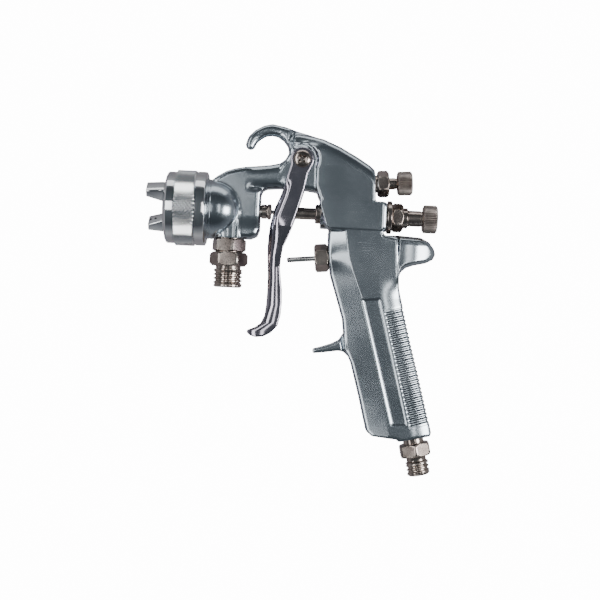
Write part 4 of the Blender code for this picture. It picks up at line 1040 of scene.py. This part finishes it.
# %% Cast the body
BODY_CELL = 0.42
BODY_RELAX = 9
body = remeshed("gun_body", "gun_body_piece", BODY_CELL, BODY_RELAX)
points = points_of(body)
x, y, z = points.T.copy()
HANDLE_HEIGHTS = (-53, -62, -76, -91, -107, -126, -148, -168)
FRONT_EDGE = (35, 35, 36.6, 41.2, 46, 50, 57, 62.5)
RIDGE = (45, 46.4, 50, 56, 60.4, 65.6, 70.8, 75)
BACK_EDGE = (75, 76, 76.8, 78.8, 83, 88.5, 94.6, 99.8)
FRONT_WIDTH = 0.60              # the front edge's width, as a share of the flank's
VALVE_BOSS_WIDTH = 0.24         # how much wider it is where the air valve goes in
VALVE_BOSS_Z = -69.0
front = along(HANDLE_HEIGHTS, FRONT_EDGE, z)
ridge = along(HANDLE_HEIGHTS, RIDGE, z)
rear = along(HANDLE_HEIGHTS, BACK_EDGE, z)
in_handle = ease(-z, 52.6, 54.2)
boss = VALVE_BOSS_WIDTH * np.exp(-((z - VALVE_BOSS_Z) / 7.0) ** 2)
front_share = np.clip((x - front) / (ridge - front), 0, 1)
front_width = FRONT_WIDTH + boss + (1 - FRONT_WIDTH - boss) * front_share
rear_share = np.clip((x - (rear - 13)) / 13, 0, 1)
rear_width = 1 - 0.30 * rear_share ** 2 * ease(-z, 76, 90)
in_front_part = ease(x, front - 3.5, front - 1.5)
y = y * (1 - in_handle * in_front_part * (1 - front_width)) * (1 - in_handle * (1 - rear_width))
print("body cells:", len(points))

# %% Widen the thumb rest and round its end
THUMB_REST_HALF = 5.6           # half its width in the working model
REST_FLOOR = (-83, -77)         # heights between which it runs out into the handle
above_floor = ease(z, *REST_FLOOR) * in_handle
rest_width = 10.4 - 2.6 * ease(x, 78, 98)
widened = np.copysign(np.minimum(np.abs(y) * rest_width / THUMB_REST_HALF, rest_width), y)
y = y + ease(x, 75.5, 76.3) * above_floor * (widened - y)
round_end = np.sqrt(np.clip(1 - np.clip((x - 84) / 15.0, 0, 1) ** 2, 0.05, 1))
round_side = along((-54, -55, -57, -60), (0.62, 0.80, 0.95, 1.0), z)
y = y * (1 - ease(x, 66, 80) * above_floor * (1 - round_end * round_side))
print("thumb rest:", round(2 * float(rest_width.max()), 1), "mm wide where it starts")

# %% Round the hook and level the barrel with the block
HOOK_X = 0.3                    # middle of the hook's curve
HOOK_Z = -9.3
HOOK_MIDDLE = 12.9              # radius of the line down the middle of its bar
HOOK_BAR = 3.65                 # half its thickness
from_middle = (np.hypot(x - HOOK_X, z - HOOK_Z) - HOOK_MIDDLE) / HOOK_BAR
in_hook = (1 - ease(x, 5, 12)) * ease(z, -13, -9.5)
y = y * (1 - in_hook * (1 - np.sqrt(np.clip(1 - from_middle ** 2, 0.06, 1))))
CROWN_TAPER = 0.45
y = y * (1 - CROWN_TAPER * ease(x, 9, 12) * (1 - ease(x, 13, 32)) * ease(z, -8, -3))
BLOCK_HALF = 10.85
on_barrel = (x > 24) * (x < 66) * (z > -52) * (z < -34)
y = np.where(on_barrel, np.clip(y, -BLOCK_HALF, BLOCK_HALF), y)
print("hook bar:", 2 * HOOK_BAR, "mm thick, points levelled on the barrel:", int(on_barrel.sum()))

# %% Round the block's top, the neck and the leg
TOP_X = (-33, -20, -7.5, 5.5, 13, 24, 30, 40, 50, 57.5, 61)
TOP_Z = (-27, -20, -18, -15.8, 1.4, 0.4, -0.9, -5, -10.4, -15, -18)
TOP_FALL = 9.0                  # how far down the flanks the round top reaches
NECK_FLOOR = -30.6
top = np.interp(x, TOP_X, TOP_Z)
below_top = np.clip((top - z) / TOP_FALL, 0, 1)
round_top = 0.55 + 0.45 * np.sqrt(np.clip(1 - (1 - below_top) ** 2, 0, 1))
in_block = ease(x, 10, 13) * (1 - ease(-z, 34, 36.5))
outside_pocket = ease(np.hypot(x - pivot.x / MM, z - pivot.z / MM), 8.6, 9.8)
y = y * (1 - in_block * outside_pocket * (1 - round_top))
neck_half = np.maximum((top - NECK_FLOOR) / 2, 1)
neck_share = np.clip(np.abs(z - (top + NECK_FLOOR) / 2) / neck_half, 0, 1)
in_neck = ease(x, -14, -8) * (1 - ease(x, 4, 9)) * (1 - ease(-z, 29, 34))
y = y * (1 - in_neck * 0.22 * neck_share ** 2)
in_leg = (1 - ease(x, -3.5, -1.5)) * ease(x, -31, -27) * (np.abs(y) < 9.2)
y = y * (1 + 0.22 * in_leg * ease(-z, 46, 57) * ease(np.abs(y), 4.5, 7.5))
print("neck height:", round(2 * float(neck_half.max()), 1), "mm at most")

# %% True up the head's ball and cut its two collar grooves
DOME_X = -32.0
DOME_RADIUS = 17.5
COLLAR_GROOVES = (-35.1, -33.7)
COLLAR_DEPTH = 0.45
from_dome = np.stack((x - DOME_X, y, z - SPRAY_Z / MM), 1)
from_dome[:, 0] = np.maximum(from_dome[:, 0], 0)
reach = np.linalg.norm(from_dome, axis=1)
near_dome = (1 - ease(np.abs(reach - DOME_RADIUS + 0.15), 0.25, 0.6)) * (x < -13) * (x > -37)
grow = 1 + near_dome * (DOME_RADIUS / np.maximum(reach, 1) - 1)
x = np.where(x > DOME_X, DOME_X + from_dome[:, 0] * grow, x)
collar = sum(np.exp(-((x - groove) / 0.35) ** 2) for groove in COLLAR_GROOVES)
grow = grow * (1 - near_dome * COLLAR_DEPTH * collar / DOME_RADIUS)
y = y * grow
z = SPRAY_Z / MM + (z - SPRAY_Z / MM) * grow
print("points on the ball:", int((near_dome > 0.5).sum()))

# %% Cut the grip's grooves
GROOVE_PITCH = 2.5
GROOVE_DEPTH = 0.55
GROOVES = 27
FIRST_GROOVE = (80.2, -96.0)    # X and Z of the first groove's edge
HANDLE_LEAN = math.radians(15.5)
down_grip = (x - FIRST_GROOVE[0]) * math.sin(HANDLE_LEAN) - (z - FIRST_GROOVE[1]) * math.cos(HANDLE_LEAN)
grip_length = GROOVES * GROOVE_PITCH
wave = 0.5 - 0.5 * np.cos(down_grip / GROOVE_PITCH * math.tau)
panel_rear = along((-92, -163), (66.5, 85.6), z)
groove_here = ease(down_grip, -1.2, 0) * (1 - ease(down_grip, grip_length, grip_length + 1.2))
groove_here = groove_here * ease(x, panel_rear + 0.6, panel_rear + 1.8)
normals = np.empty(len(points) * 3)
body.data.vertices.foreach_get("normal", normals)
normals = normals.reshape(-1, 3)
outward = ease(np.abs(y), 4.0, 6.0) + ease(x, rear - 2.2, rear - 1.0)
depth = GROOVE_DEPTH * wave * groove_here * np.clip(outward, 0, 1)
shaped = np.stack((x, y, z), 1) - normals * depth[:, None]
set_points(body, shaped)
hang(body, "gun_body")
print("grooves:", GROOVES, "deepest:", round(float(depth.max()), 2), "mm")

# %% [markdown]
# ## Trigger
#
# The trigger is pressed from sheet and plated: two straps and a curved front with soft edges all
# round. It gets the same remeshing as the body, with finer cells because it is thin. Below the straps
# its front is rounded into a bar, which is what the finger pulls on.

# %% Press the trigger
TRIGGER_CELL = 0.35
TRIGGER_RELAX = 5
trigger = remeshed("trigger", "trigger_piece", TRIGGER_CELL, TRIGGER_RELAX)
points = points_of(trigger)
x, y, z = points.T.copy()
TRIGGER_HEIGHTS = (-22, -36, -47, -58, -70, -82, -98, -108, -113)
TRIGGER_FRONT = (10.2, 6.2, 2.4, 0.6, 0.5, 1.2, 1.0, -1.6, -9.4)
TRIGGER_BACK = (21.7, 18.9, 15.7, 11.7, 8.4, 8.8, 10.1, 9.2, 5.0)
front = along(TRIGGER_HEIGHTS, TRIGGER_FRONT, z)
rear = along(TRIGGER_HEIGHTS, TRIGGER_BACK, z)
share = np.clip((x - front) / (rear - front), 0, 1)
rise = np.clip(share / 0.8, 0, 1)
bulge = 0.30 + 0.70 * np.sqrt(1 - (1 - rise) ** 2)
roundness = ease(-z, 44, 62)
y = y * (1 - roundness * (1 - bulge))
edge_share = np.clip((x - front) / 4.5, 0, 1)
y = y * (1 - 0.28 * (1 - edge_share) ** 2 * ease(-z, 24, 34) * (1 - roundness))
set_points(trigger, np.stack((x, y, z), 1))
hang(trigger, "trigger")
print("trigger cells:", len(trigger.data.vertices))

# %% [markdown]
# ## Update the scene
#
# The dressed gun must be as large as the working model. This last step only brings the scene up to date.

# %% Update the scene
bpy.context.view_layer.update()
